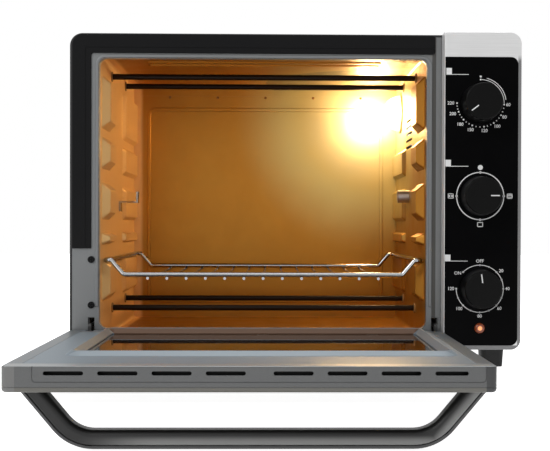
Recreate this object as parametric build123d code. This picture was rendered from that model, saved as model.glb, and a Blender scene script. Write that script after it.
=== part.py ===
"""Countertop oven with a drop-down glass door, a rotisserie drive and three control knobs.

Millimetres, +Z up, the front faces -Y, and the origin lies on the plane of the feet, under the
middle of the body. The door is modelled open, level with the cavity floor, and the rack is in.
Sheet parts are folded steel, and every part is a solid of its own.
"""
import os
from math import cos, radians, sin, tan

from build123d import *

# Body envelope, without the feet
BODY_W = 462.0
BODY_H = 323.5
BODY_D = 340.0
FOOT_H = 20.0
CORNER_R = 13.0
SHEET = 1.0
RIM_T = 2.2
RIM_DEPTH = 6.0

# Fits
GAP = 0.3
RUN_FIT = 0.05
HOLE_FIT = 0.2

# Cavity, measured from the front plane of the body
CAVITY_W = 338.0
CAVITY_H = 295.0
CAVITY_D = 310.0
CAVITY_LEFT_MARGIN = 30.0
CAVITY_FLOOR = 8.0
CAVITY_R = 8.0
LINER_R = 3.4
OPENING_TOP_LIP = 5.0
OPENING_BOTTOM_LIP = 11.5
LIP_DEPTH = 8.0

# Guide pads pressed into the cavity's side walls: bottom and top heights above the cavity floor
PAD_LEVELS = ((38.0, 82.3), (97.5, 110.0), (124.0, 163.0), (177.5, 210.5), (219.5, 275.3))
PAD_H = 8.0
PAD_L = 60.0
PAD_R = 3.0
PAD_DRAFT = 43.0
PAD_LOW_DRAFT = 25.0
PAD_FRONT_DEPTH = 20.0
BACK_PAD_H = 4.2
BACK_PAD_DEPTH_LEFT = 190.0
BACK_PAD_DEPTH_RIGHT = 196.0

# Front frame, its rolled bead and the black band
BEAD_W = 3.4
BEAD_OFFSET_TOP = 0.5
BEAD_OFFSET_SIDE = 2.2
BEAD_PROUD = 1.2
BEAD_BOTTOM = 62.0
BAND_W = 19.6
BAND_T = 2.2
BAND_BOTTOM = 122.0
BAND_RIGHT_GAP = 7.1
BAND_LINE = 13.5
BAND_LINE_W = 1.2

# Control panel on the right
PANEL_W = 78.6
PANEL_PROUD = 20.5
PANEL_R_TOP = 11.7
PANEL_R_BOTTOM = 10.0
PANEL_WALL = 2.2
PANEL_FRONT_WALL = 3.2
FASCIA_T = 1.4
FASCIA_INSET_RIGHT = 3.2
FASCIA_INSET_TOP = 25.0
FASCIA_INSET_BOTTOM = 4.3
FASCIA_R = 7.5
DIAL_FROM_RIGHT = 41.8
DIAL_TOP_Z = 271.3
DIAL_PITCH = 94.5
PILOT_Z = 42.0

# Knobs and their shafts
KNOB_BASE_R = 20.3
KNOB_FACE_R = 18.7
KNOB_H = 22.0
KNOB_CLEAR = 0.8
KNOB_EDGE_R = 1.4
SHAFT_R = 3.0
SHAFT_IN_KNOB = 14.0

# Heating rods: depth behind the front plane, and drop below the ceiling or rise above the floor
ROD_R = 3.15
ROD_END = 13.0
UPPER_FRONT_ROD = (95.0, 12.7)
UPPER_REAR_ROD = (218.0, 9.0)
LOWER_FRONT_ROD = (99.0, 26.4)
LOWER_REAR_ROD = (217.0, 30.0)
BUSH_R = 5.5
BUSH_NECK_R = 4.8
BUSH_IN = 1.4
BUSH_OUT = 8.0

# Lamp on the right wall
LAMP_DEPTH = 257.0
LAMP_Z = 286.5
LAMP_R = 22.0
LAMP_GLASS = 1.6
LAMP_RING_T = 2.0
BULB_R = 11.0
BULB_IN = 8.0

# Side vents beside the lamp
VENT_L = 60.0
VENT_H = 3.4
VENT_PITCH = 7.7
VENT_COUNT = 5
VENT_DEPTH = 161.0
VENT_TOP_Z = 269.3

# Rotisserie
SPIT_DEPTH = 165.0
SPIT_Z = 180.5
SOCKET_R = 7.5
SOCKET_L = 13.0
SOCKET_SQUARE = 8.4
SOCKET_HOLE_DEPTH = 10.0
DRIVE_SHAFT_R = 4.0
SUPPORT_W = 14.0
SUPPORT_T = 2.0
SUPPORT_REACH = 22.0
SUPPORT_DROP = 6.5
SUPPORT_UP = 11.0
MOTOR_GAP = 8.0
MOTOR_R = 25.0
MOTOR_T = 19.0
MOTOR_EAR = 30.0

# Wire rack with a dropped middle, on top of the lowest pads
RACK_WIRE_R = 2.5
RACK_GRID_R = 1.5
RACK_SIDE_GAP = 4.5
RACK_RISE = 81.8
RACK_DROP = 15.1
RACK_SHOULDER = 4.5
RACK_SLOPE = 14.5
RACK_FRONT_DEPTH = 15.5
RACK_BACK_DEPTH = 300.0
RACK_BEND_R = 5.0
RACK_GRID_COUNT = 13
RACK_GRID_PITCH = 20.1
WELD = 0.05

# Door, lying open
DOOR_LEN = 316.0
DOOR_T = 20.6
DOOR_LEFT_GAP = 0.8
DOOR_RIGHT_GAP = 0.5
DOOR_TOP_Z = 38.2
DOOR_WALL = 1.2
DOOR_FRONT_WALL = 2.4
DOOR_HEM_SIDE = 13.0
DOOR_HEM_FRONT = 17.0
DOOR_HEM_REAR = 8.0
DOOR_CORNER_R = 5.0
DOOR_EDGE_R = 3.0
DOOR_TOP_EDGE_R = 1.2
DOOR_LINE_LIFT = 4.2
DOOR_WEB_DEPTH = 11.0
SEAL_GAP = 3.0
HINGE_DROP = 6.0

# The seams and vent slots in the door's upper edge
SEAM_W = 0.9
SEAM_DEPTH = 0.7
EDGE_PANEL_LEFT_IN = 23.8
EDGE_PANEL_RIGHT_IN = 8.6
EDGE_PANEL_LIFT = 7.8
SLOT_L = 30.8
SLOT_H = 3.2
SLOT_PITCH = 41.53
SLOT_TOP_DROP = 5.6
SLOT_FIRST_LEFT = 32.55
SLOT_SECOND_LEFT = 209.2
SLOT_LAST_L = 25.8

# The raised bead around the window, at its crest, and its slopes outwards and inwards
RIDGE_H = 4.0
RIDGE_CREST_W = 1.6
RIDGE_SLOPE_OUT = 6.0
RIDGE_SLOPE_IN = 5.0
RIDGE_R = 8.0
RIDGE_SIDE_LEFT = 12.0
RIDGE_SIDE_RIGHT = 9.0
RIDGE_FRONT = 240.0
RIDGE_REAR = 17.0
WINDOW_LIP = 1.0
GLASS_T = 4.0
GLASS_EDGE = 5.0
CLIP_W = 12.0
CLIP_REACH = 7.0

# Door handle, a bail of constant width
HANDLE_CENTRE_X = -36.2
HANDLE_FOOT_SPAN = 352.0
HANDLE_ANGLE = 50.0
HANDLE_W = 14.8
HANDLE_DEPTH = 20.0
HANDLE_REACH = 47.6
HANDLE_BEND_R = 34.5
HANDLE_FROM_EDGE = 22.0
HANDLE_ROUND = 5.5
HANDLE_FACING_T = 2.8
HANDLE_FACING_R = 2.2
HANDLE_LINE = 0.3
HANDLE_SCREW_DY = 6.0
HANDLE_SCREW_IN = 5.5

# Hinges
HINGE_LEFT_IN = 22.0
HINGE_RIGHT_IN = 6.3
HINGE_ARM_T = 3.0
HINGE_CHEEK_T = 1.2
HINGE_CHEEK_GAP = 0.4
HINGE_PIN_R = 2.0
HINGE_KNUCKLE_R = 5.0
HINGE_TAIL = 10.0
HINGE_ARM_L = 42.0
HINGE_SLOT_BOTTOM = 26.5
HINGE_SLOT_TOP = 51.0
HINGE_SCREW_ZS = (63.7, 110.6)
HINGE_BACK_DEPTH = 16.0
SPRING_R = 3.6
SPRING_L = 48.0
SPRING_WIRE_R = 0.8
SPRING_DEPTH = 18.0
SPRING_HOOK_L = 9.0

# Feet
FOOT_W = 24.5
FOOT_TAPER = 4.0
FOOT_IN_X = 24.4
FOOT_IN_Y = 13.0

# Rear sheet of the cavity: pressed bead, seam and rivets
BACK_BEAD_SIDE = 17.0
BACK_BEAD_TOP = 25.5
BACK_BEAD_BOTTOM = 18.5
BACK_BEAD_W = 4.6
BACK_BEAD_H = 1.6
BACK_BEAD_R = 11.0
SEAM_DROP = 10.6
RIVET_PITCH = 61.4
RIVET_COUNT = 5
RIVET_R = 1.7

# Parts behind the panel and at the rear
PILOT_R = 5.0
PILOT_DOME = 2.4
PILOT_HOLDER_R = 4.2
BUSHING_R = 4.5
CONTROL_PLATE_T = 1.5
GLAND_R = 8.0
GLAND_IN = 45.0
GLAND_RISE = 42.0

# Derived planes of the body
LEFT = -BODY_W / 2
RIGHT = BODY_W / 2
BASE = FOOT_H
TOP = FOOT_H + BODY_H
FRONT = -BODY_D / 2
BACK = BODY_D / 2

# Derived planes of the cavity and its opening
CAV_X0 = LEFT + CAVITY_LEFT_MARGIN
CAV_X1 = CAV_X0 + CAVITY_W
CAV_Z0 = BASE + CAVITY_FLOOR
CAV_Z1 = CAV_Z0 + CAVITY_H
CAV_BACK = FRONT + CAVITY_D
OPEN_Z0 = CAV_Z0 + OPENING_BOTTOM_LIP
OPEN_Z1 = CAV_Z1 - OPENING_TOP_LIP
LINER_FRONT = FRONT + SHEET + LIP_DEPTH + GAP

# Derived planes of the panel
PANEL_X0 = RIGHT - PANEL_W
PANEL_FRONT = FRONT - PANEL_PROUD
DIAL_X = RIGHT - DIAL_FROM_RIGHT
DIAL_ZS = tuple(DIAL_TOP_Z - i * DIAL_PITCH for i in range(3))
CONTROL_PLATE_Y = FRONT - PANEL_PROUD + PANEL_FRONT_WALL + 3.0
CONTROL_BACK_Y = CONTROL_PLATE_Y + CONTROL_PLATE_T
SHAFT_END_Y = CONTROL_BACK_Y + 12.0

# Derived planes of the door
DOOR_X0 = LEFT + DOOR_LEFT_GAP
DOOR_X1 = PANEL_X0 - DOOR_RIGHT_GAP
DOOR_BOTTOM_Z = DOOR_TOP_Z - DOOR_T
HINGE_Z = DOOR_TOP_Z - HINGE_DROP
HINGE_Y = FRONT - SEAL_GAP - HINGE_DROP
DOOR_REAR = HINGE_Y + HINGE_DROP
DOOR_FRONT = DOOR_REAR - DOOR_LEN
HINGE_LEFT_X = LEFT + HINGE_LEFT_IN
HINGE_RIGHT_X = DOOR_X1 - HINGE_RIGHT_IN
INNER_PANEL_Z = DOOR_TOP_Z - DOOR_WALL - SHEET
INNER_GLASS_Z = INNER_PANEL_Z
HANDLE_Y = DOOR_FRONT + HANDLE_FROM_EDGE + HANDLE_DEPTH / 2

# Derived planes of the hinges
CHEEK_OUT = HINGE_ARM_T / 2 + HINGE_CHEEK_GAP + HINGE_CHEEK_T
SPRING_Z = HINGE_Z + HINGE_TAIL - 1.0
SPRING_START = FRONT + SPRING_DEPTH
ANCHOR_Y = SPRING_START + SPRING_L + SPRING_HOOK_L

# Derived places inside and behind the cavity
LAMP_Y = FRONT + LAMP_DEPTH
SPIT_Y = FRONT + SPIT_DEPTH
GLAND_X = RIGHT - GLAND_IN
GLAND_Z = BASE + GLAND_RISE
COVER_SCREWS = tuple(
    (x, z)
    for x in (LEFT + 12, 0.0, RIGHT - 12)
    for z in (BASE + 12, TOP - 16)
)

# Derived planes of the rack
RACK_Z = CAV_Z0 + RACK_RISE
RACK_X0 = CAV_X0 + RACK_SIDE_GAP
RACK_X1 = CAV_X1 - RACK_SIDE_GAP


def box(x0, x1, y0, y1, z0, z1):
    """A box between two corners."""
    size = (x1 - x0, y1 - y0, z1 - z0)
    return Pos((x0 + x1) / 2, (y0 + y1) / 2, (z0 + z1) / 2) * Box(*size)


def rrect(a0, a1, b0, b1, r):
    """A rounded rectangle between two corners, in whichever plane it is used."""
    return Pos((a0 + a1) / 2, (b0 + b1) / 2) * RectangleRounded(a1 - a0, b1 - b0, r)


def along_x(sketch, x0, x1):
    """Extrude a sketch drawn in (y, z) from x0 to x1."""
    return extrude(Plane((x0, 0, 0), x_dir=(0, 1, 0), z_dir=(1, 0, 0)) * sketch, x1 - x0)


def along_y(sketch, y0, y1):
    """Extrude a sketch drawn in (x, z) from y0 to y1."""
    return extrude(Plane((0, y1, 0), x_dir=(1, 0, 0), z_dir=(0, -1, 0)) * sketch, y1 - y0)


def along_z(sketch, z0, z1):
    """Extrude a sketch drawn in (x, y) from z0 to z1."""
    return extrude(Plane.XY.offset(z0) * sketch, z1 - z0)


def disc_x(x0, x1, y, z, r):
    """A cylinder along X."""
    return along_x(Pos(y, z) * Circle(r), x0, x1)


def disc_y(y0, y1, x, z, r):
    """A cylinder along Y."""
    return along_y(Pos(x, z) * Circle(r), y0, y1)


def disc_z(z0, z1, x, y, r):
    """A cylinder along Z."""
    return along_z(Pos(x, y) * Circle(r), z0, z1)


def screw_y(x, y, z, head_r, head_h, shank_r, length, side):
    """A pan-head screw along Y. Its head lies on the plane y, on the given side of it."""
    head = disc_y(min(y, y + side * head_h), max(y, y + side * head_h), x, z, head_r)
    rim = head.faces().sort_by(Axis.Y)[-1 if side > 0 else 0].edges()
    head = fillet(rim, head_h * 0.45)
    cross = box(x - head_r * 0.6, x + head_r * 0.6, y - head_h, y + head_h, z - 0.4, z + 0.4)
    cross += box(x - 0.4, x + 0.4, y - head_h, y + head_h, z - head_r * 0.6, z + head_r * 0.6)
    cross = Pos(0, side * (head_h * 1.5), 0) * cross
    shank = disc_y(min(y, y - side * length), max(y, y - side * length), x, z, shank_r)
    return head - cross + shank


def rim_edges(part, axis, last):
    """The outer edges of the part's lowest or highest face along an axis."""
    return part.faces().sort_by(axis)[-1 if last else 0].outer_wire().edges()


def casing_outline(inset, bottom):
    """The casing's outline with rounded top corners, drawn in (x, z)."""
    low = BASE - 10.0 if bottom else BASE
    width = BODY_W - 2 * inset
    height = TOP - inset - low
    flat = Pos(0, low + height / 2) * Rectangle(width, height)
    corners = flat.vertices().sort_by(Axis.Y)[-2:]
    return fillet(corners, CORNER_R - inset)


def slot_grid_x(x0, x1, y_mid, z_mid, length, height, pitch, count):
    """Horizontal slots through a side wall, one above the other."""
    slots = []
    for i in range(count):
        z = z_mid + (i - (count - 1) / 2) * pitch
        slots.append(along_x(Pos(y_mid, z) * SlotOverall(length, height), x0, x1))
    return slots


def make_casing():
    """One sheet wrapped over the top and both sides, with a folded rim at the front."""
    shell = along_y(casing_outline(0, False) - casing_outline(SHEET, True), FRONT, BACK)
    rim = along_y(casing_outline(0, False) - casing_outline(RIM_T, True), FRONT, FRONT + RIM_DEPTH)
    shell += rim
    for y_mid in (FRONT + 120, FRONT + 200, FRONT + 280):
        for cut in slot_grid_x(RIGHT - 3, RIGHT + 1, y_mid, 110, 62, 3.6, 9, 9):
            shell -= cut
    for y_mid in (FRONT + 110, FRONT + 230):
        for cut in slot_grid_x(LEFT - 1, LEFT + 3, y_mid, 70, 62, 3.6, 9, 4):
            shell -= cut
    return shell


def make_back_cover():
    """The flat rear cover, inside the casing, with rows of vent slots."""
    inset = SHEET + HOLE_FIT
    cover = along_y(casing_outline(inset, False), BACK - SHEET, BACK)
    cover -= box(LEFT, RIGHT, BACK - 2, BACK + 1, BASE - 1, BASE + SHEET + HOLE_FIT)
    for row in range(9):
        z = BASE + 190 + row * 11
        for column in range(5):
            x = -150 + column * 75
            cover -= along_y(Pos(x, z) * SlotOverall(56, 3.6), BACK - 2, BACK + 1)
    for x, z in COVER_SCREWS:
        cover -= disc_y(BACK - 2, BACK + 1, x, z, 1.5 + HOLE_FIT)
    cover -= disc_y(BACK - 2, BACK + 1, GLAND_X, GLAND_Z, GLAND_R + HOLE_FIT)
    return cover


def make_cover_screws():
    """Six screws through the rear cover."""
    screws = [screw_y(x, BACK, z, 3.2, 2.0, 1.5, 7.0, 1) for x, z in COVER_SCREWS]
    return Compound(children=screws)


def foot_places():
    """The centres of the four feet."""
    x = RIGHT - FOOT_IN_X
    return ((-x, FRONT + FOOT_IN_Y), (x, FRONT + FOOT_IN_Y), (-x, BACK - FOOT_IN_Y), (x, BACK - FOOT_IN_Y))


def make_base_plate():
    """The bottom sheet with turned-up edges and slots under the heaters."""
    x0 = LEFT + SHEET + HOLE_FIT
    x1 = RIGHT - SHEET - HOLE_FIT
    y0 = FRONT + SHEET + HOLE_FIT
    y1 = BACK - SHEET - HOLE_FIT
    pan = box(x0, x1, y0, y1, BASE, BASE + SHEET)
    inset = RIM_T + HOLE_FIT
    pan += box(x0, x0 + SHEET, FRONT + RIM_DEPTH + HOLE_FIT, y1, BASE, BASE + 6)
    pan += box(x1 - SHEET, x1, FRONT + RIM_DEPTH + HOLE_FIT, y1, BASE, BASE + 6)
    pan -= box(x0 - 1, LEFT + inset, y0 - 1, FRONT + RIM_DEPTH + HOLE_FIT, BASE - 1, CAV_Z0)
    pan -= box(RIGHT - inset, x1 + 1, y0 - 1, FRONT + RIM_DEPTH + HOLE_FIT, BASE - 1, CAV_Z0)
    for row in range(5):
        for column in range(4):
            place = Pos(-150 + column * 78, FRONT + 100 + row * 30)
            pan -= along_z(place * SlotOverall(50, 4), BASE - 1, BASE + 2)
    for x, y in foot_places():
        pan -= disc_z(BASE - 1, BASE + 2, x, y, 2.0 + HOLE_FIT)
    return pan


def make_feet():
    """Four tapered feet, each with a recess for its screw."""
    feet = []
    for x, y in foot_places():
        top = Plane.XY.offset(FOOT_H) * Pos(x, y) * RectangleRounded(FOOT_W, FOOT_W, 6)
        foot = extrude(top, -FOOT_H, taper=FOOT_TAPER)
        foot = fillet(rim_edges(foot, Axis.Z, False), 1.2)
        foot -= disc_z(-1, FOOT_H - 6, x, y, 4.2)
        foot -= disc_z(0, FOOT_H + 1, x, y, 2.0 + HOLE_FIT)
        feet.append(foot)
    return Compound(children=feet)


def make_foot_screws():
    """One screw up through each foot into the base plate, with its nut."""
    screws = []
    for x, y in foot_places():
        screw = disc_z(FOOT_H - 9, FOOT_H - 6, x, y, 3.8)
        screw += disc_z(FOOT_H - 6, BASE + SHEET + 5.5, x, y, 2.0)
        nut = along_z(Pos(x, y) * RegularPolygon(3.6, 6), BASE + SHEET, BASE + SHEET + 3)
        screws.append(screw + nut)
    return Compound(children=screws)


def opening_outline(grow):
    """The cavity opening's outline in (x, z), grown by a margin."""
    return rrect(CAV_X0 - grow, CAV_X1 + grow, OPEN_Z0 - grow, OPEN_Z1 + grow, CAVITY_R + grow)


def hinge_slot(x, y0, y1):
    """The slot in the front frame that the hinge works through."""
    half = HINGE_ARM_T / 2 + HINGE_CHEEK_GAP + HINGE_CHEEK_T + GAP
    return box(x - half, x + half, y0, y1, HINGE_SLOT_BOTTOM, HINGE_SLOT_TOP)


def make_front_frame():
    """The painted steel front around the opening, with its inner lip, bead and folded edges."""
    x0 = LEFT + RIM_T + HOLE_FIT
    x1 = PANEL_X0 - GAP
    z0 = BASE
    z1 = TOP - RIM_T - HOLE_FIT
    outline = Pos((x0 + x1) / 2, (z0 + z1) / 2) * Rectangle(x1 - x0, z1 - z0)
    corner = outline.vertices().sort_by(Axis.X)[:2].sort_by(Axis.Y)[-1:]
    outline = fillet(corner, CORNER_R - RIM_T)
    plate = along_y(outline - opening_outline(0), FRONT, FRONT + SHEET)
    lip = along_y(opening_outline(SHEET) - opening_outline(0), FRONT + SHEET, FRONT + SHEET + LIP_DEPTH)
    frame = plate + lip
    inner = rrect(
        CAV_X0 - BEAD_OFFSET_TOP, CAV_X1 + BEAD_OFFSET_SIDE,
        OPEN_Z0 - 20, OPEN_Z1 + BEAD_OFFSET_TOP, CAVITY_R,
    )
    outer = rrect(
        CAV_X0 - BEAD_OFFSET_TOP - BEAD_W, CAV_X1 + BEAD_OFFSET_SIDE + BEAD_W,
        OPEN_Z0 - 20 - BEAD_W, OPEN_Z1 + BEAD_OFFSET_TOP + BEAD_W, CAVITY_R + BEAD_W,
    )
    bead = along_y(outer - inner, FRONT - BEAD_PROUD, FRONT + 0.1)
    bead -= box(LEFT, RIGHT, FRONT - 5, FRONT + 5, 0, BEAD_BOTTOM)
    bead = fillet(bead.faces().sort_by(Axis.Y)[0].edges(), BEAD_PROUD * 0.7)
    frame += bead
    for x in (HINGE_LEFT_X, HINGE_RIGHT_X):
        frame -= hinge_slot(x, FRONT - 1, FRONT + SHEET + 1)
    for z in HINGE_SCREW_ZS:
        frame -= disc_y(FRONT - 1, FRONT + SHEET + 1, HINGE_LEFT_X, z, 1.75 + HOLE_FIT)
    return frame


def band_outline(inset):
    """The L-shaped band along the top and the upper left of the front, in (x, z)."""
    x0 = LEFT + RIM_T + HOLE_FIT
    x1 = PANEL_X0 - BAND_RIGHT_GAP
    z1 = TOP - RIM_T + 1.4
    points = (
        (x0 + inset, BAND_BOTTOM),
        (x0 + inset, z1 - inset),
        (x1, z1 - inset),
        (x1, z1 - BAND_W),
        (x0 + BAND_W, z1 - BAND_W),
        (x0 + BAND_W, BAND_BOTTOM),
    )
    return points


def make_trim_band():
    """A black trim band on the front, with one long moulded line."""
    band = make_face(Polyline(*band_outline(0), close=True))
    corners = band.vertices().sort_by(Axis.Y)
    top_left = corners[-2:].sort_by(Axis.X)[0]
    band = fillet(top_left, CORNER_R - RIM_T)
    right = band.vertices().sort_by(Axis.X)[-2:]
    band = fillet(right, 3.0)
    inner = [v for v in band.vertices() if abs(v.X - (LEFT + RIM_T + HOLE_FIT + BAND_W)) < 0.01 and v.Y > 200]
    band = fillet(inner, 3.0)
    solid = along_y(band, FRONT - BAND_T, FRONT - 0.05)
    solid = fillet(solid.faces().sort_by(Axis.Y)[0].edges(), 0.7)
    x0 = LEFT + RIM_T + HOLE_FIT + BAND_LINE
    z1 = TOP - RIM_T + 1.4 - BAND_LINE
    line = box(x0, x0 + BAND_LINE_W, FRONT - BAND_T - 1, FRONT - BAND_T + 0.5, BAND_BOTTOM - 1, z1)
    line += box(
        x0, PANEL_X0 - BAND_RIGHT_GAP + 1, FRONT - BAND_T - 1, FRONT - BAND_T + 0.5,
        z1 - BAND_LINE_W, z1,
    )
    return solid - line


def pad_block(pad, out, start):
    """One pad's drafted block on a side wall, moved outwards and begun a little outside the wall."""
    side, y0, y1, low, high, height = pad
    draft = PAD_DRAFT if high - low > 3 * height else PAD_LOW_DRAFT
    wall = (CAV_X0 if side < 0 else CAV_X1) + side * out
    sections = []
    for rise in (-start, height):
        inset = rise * tan(radians(draft))
        plane = Plane((wall - side * rise, 0, 0), x_dir=(0, 1, 0), z_dir=(1, 0, 0))
        sections.append(plane * rrect(
            FRONT + y0 + inset, FRONT + y1 - inset,
            CAV_Z0 + low + inset, CAV_Z0 + high - inset, PAD_R - 0.15 * rise,
        ))
    return loft(sections)


def pad_places():
    """Side, depths, levels and height of every pad. The lamp takes the place of the top right one."""
    places = []
    end = CAVITY_D + 3 * BACK_PAD_H
    for low, high in PAD_LEVELS:
        for side, start in ((-1, BACK_PAD_DEPTH_LEFT), (1, BACK_PAD_DEPTH_RIGHT)):
            places.append((side, PAD_FRONT_DEPTH, PAD_FRONT_DEPTH + PAD_L, low, high, PAD_H))
            if side < 0 or CAV_Z0 + high < VENT_TOP_Z:
                places.append((side, start, end, low, high, BACK_PAD_H))
    return places


def rod_places():
    """Depth and height of the four heating rods, in the order of their names."""
    return {
        "heater_upper_front": (FRONT + UPPER_FRONT_ROD[0], CAV_Z1 - UPPER_FRONT_ROD[1]),
        "heater_upper_rear": (FRONT + UPPER_REAR_ROD[0], CAV_Z1 - UPPER_REAR_ROD[1]),
        "heater_lower_front": (FRONT + LOWER_FRONT_ROD[0], CAV_Z0 + LOWER_FRONT_ROD[1]),
        "heater_lower_rear": (FRONT + LOWER_REAR_ROD[0], CAV_Z0 + LOWER_REAR_ROD[1]),
    }


def make_liner():
    """The cavity's sheet tube: ceiling, floor and both side walls with their pressed pads."""
    inner = rrect(CAV_X0, CAV_X1, CAV_Z0, CAV_Z1, LINER_R)
    outer = rrect(
        CAV_X0 - SHEET, CAV_X1 + SHEET, CAV_Z0 - SHEET, CAV_Z1 + SHEET, LINER_R + SHEET
    )
    liner = along_y(outer - inner, LINER_FRONT, CAV_BACK)
    liner += along_y(outer - opening_outline(0), LINER_FRONT, LINER_FRONT + SHEET)
    for pad in pad_places():
        liner += pad_block(pad, 0.0, 0.5)
    for pad in pad_places():
        liner -= pad_block(pad, SHEET, 0.2)
    liner -= box(CAV_X0 - 30, CAV_X1 + 30, CAV_BACK, CAV_BACK + 30, CAV_Z0 - 10, CAV_Z1 + 10)
    for i in range(3):
        y = FRONT + 40 + i * 24
        rib = Pos(0, y) * SlotOverall(CAVITY_W - 84, 5)
        middle = Pos((CAV_X0 + CAV_X1) / 2, 0)
        liner += along_z(middle * rib, CAV_Z1 - 1.2, CAV_Z1 + 0.1)
    for y, z in rod_places().values():
        liner -= disc_x(CAV_X0 - 3, CAV_X1 + 3, y, z, BUSH_NECK_R + HOLE_FIT)
    liner -= disc_x(CAV_X1 - 2, CAV_X1 + 3, FRONT + LAMP_DEPTH, LAMP_Z, LAMP_R - 4)
    liner -= disc_x(CAV_X1 - 2, CAV_X1 + 3, FRONT + SPIT_DEPTH, SPIT_Z, DRIVE_SHAFT_R + RUN_FIT)
    mid = VENT_TOP_Z - (VENT_COUNT - 1) / 2 * VENT_PITCH
    vents = slot_grid_x(CAV_X1 - 2, CAV_X1 + 3, FRONT + VENT_DEPTH, mid, VENT_L, VENT_H, VENT_PITCH, VENT_COUNT)
    for cut in vents:
        liner -= cut
    return liner


def make_cavity_back():
    """The cavity's rear sheet, with a pressed bead and a folded seam along the top."""
    back = box(
        CAV_X0 - SHEET, CAV_X1 + SHEET, CAV_BACK, CAV_BACK + SHEET, CAV_Z0 - SHEET, CAV_Z1 + SHEET
    )
    x0 = CAV_X0 + BACK_BEAD_SIDE
    x1 = CAV_X1 - BACK_BEAD_SIDE
    z0 = CAV_Z0 + BACK_BEAD_BOTTOM
    z1 = CAV_Z1 - BACK_BEAD_TOP
    w = BACK_BEAD_W
    ring = rrect(x0, x1, z0, z1, BACK_BEAD_R)
    ring -= rrect(x0 + w, x1 - w, z0 + w, z1 - w, BACK_BEAD_R - w)
    bead = along_y(ring, CAV_BACK - BACK_BEAD_H, CAV_BACK + 0.1)
    bead = fillet(bead.faces().sort_by(Axis.Y)[0].edges(), BACK_BEAD_H * 0.6)
    seam = box(
        CAV_X0 + LINER_R, CAV_X1 - LINER_R, CAV_BACK - 0.8, CAV_BACK + 0.1,
        CAV_Z1 - SEAM_DROP, CAV_Z1 - GAP,
    )
    return back + bead + seam


def make_rivets():
    """Small domed rivets under the seam of the cavity's rear sheet."""
    rivets = []
    middle = (CAV_X0 + CAV_X1) / 2
    z = CAV_Z1 - SEAM_DROP - RIVET_R - 0.2
    for i in range(RIVET_COUNT):
        x = middle + (i - (RIVET_COUNT - 1) / 2) * RIVET_PITCH
        dome = disc_y(CAV_BACK - 1.3, CAV_BACK, x, z, RIVET_R)
        rivets.append(fillet(dome.faces().sort_by(Axis.Y)[0].edges(), 1.0))
    return Compound(children=rivets)


def make_rod(name):
    """One straight heating rod through both side walls."""
    y, z = rod_places()[name]
    return disc_x(CAV_X0 - ROD_END, CAV_X1 + ROD_END, y, z, ROD_R)


def make_bushes():
    """Ceramic bushes that carry the rods in the side walls."""
    bushes = []
    for y, z in rod_places().values():
        for wall, side in ((CAV_X0, 1), (CAV_X1, -1)):
            inside = sorted((wall, wall + side * BUSH_IN))
            neck = sorted((wall, wall - side * BUSH_OUT))
            bush = disc_x(inside[0], inside[1], y, z, BUSH_R)
            bush += disc_x(neck[0], neck[1], y, z, BUSH_NECK_R)
            bush -= disc_x(wall - 30, wall + 30, y, z, ROD_R + RUN_FIT)
            bushes.append(bush)
    return Compound(children=bushes)


def make_terminals():
    """A threaded stud and two nuts on each end of each rod."""
    studs = []
    for y, z in rod_places().values():
        for end, side in ((CAV_X0 - ROD_END, -1), (CAV_X1 + ROD_END, 1)):
            span = sorted((end, end + side * 9.0))
            stud = disc_x(span[0], span[1], y, z, 1.5)
            for start in (2.0, 5.5):
                nut = sorted((end + side * start, end + side * (start + 2.4)))
                stud += along_x(Pos(y, z) * RegularPolygon(3.2, 6), nut[0], nut[1])
            studs.append(stud)
    return Compound(children=studs)


def make_lamp_ring():
    """The pressed ring that holds the lamp glass against the wall."""
    ring = disc_x(CAV_X1 - LAMP_RING_T, CAV_X1, LAMP_Y, LAMP_Z, LAMP_R + 3)
    ring = fillet(ring.faces().sort_by(Axis.X)[0].edges(), 1.2)
    return ring - disc_x(CAV_X1 - 9, CAV_X1 + 1, LAMP_Y, LAMP_Z, LAMP_R + HOLE_FIT)


def turned_x(x, y, z, outline):
    """A solid turned about a line along X, from an outline of (distance in +X, radius) points."""
    plane = Plane((x, y, z), x_dir=(1, 0, 0), z_dir=(0, -1, 0))
    return revolve(plane * outline, Axis((x, y, z), (1, 0, 0)))


def make_lamp_cover():
    """The domed lamp glass."""
    outer = Circle(LAMP_R) - Circle(LAMP_R - LAMP_GLASS)
    half = outer & (Pos(-LAMP_R, LAMP_R) * Rectangle(2 * LAMP_R, 2 * LAMP_R))
    return turned_x(CAV_X1 - 0.5, LAMP_Y, LAMP_Z, half)


def make_bulb():
    """A small round oven bulb with its threaded cap."""
    half = Circle(BULB_R) & (Pos(0, BULB_R) * Rectangle(2 * BULB_R, 2 * BULB_R))
    neck = Pos(10.0, 4.25) * Rectangle(12.0, 8.5)
    cap = Pos(23.0, 3.4) * Rectangle(16.0, 6.8)
    return turned_x(CAV_X1 - BULB_IN, LAMP_Y, LAMP_Z, half + neck + cap)


def make_lamp_socket():
    """The ceramic lamp holder behind the wall."""
    x = CAV_X1 + SHEET
    socket = disc_x(x, x + 3, LAMP_Y, LAMP_Z, LAMP_R)
    socket += disc_x(x, x + 36, LAMP_Y, LAMP_Z, 16)
    socket -= disc_x(x - 1, x + 14, LAMP_Y, LAMP_Z, 9.5)
    socket -= disc_x(x - 1, x + 32, LAMP_Y, LAMP_Z, 7.2)
    return socket


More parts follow.
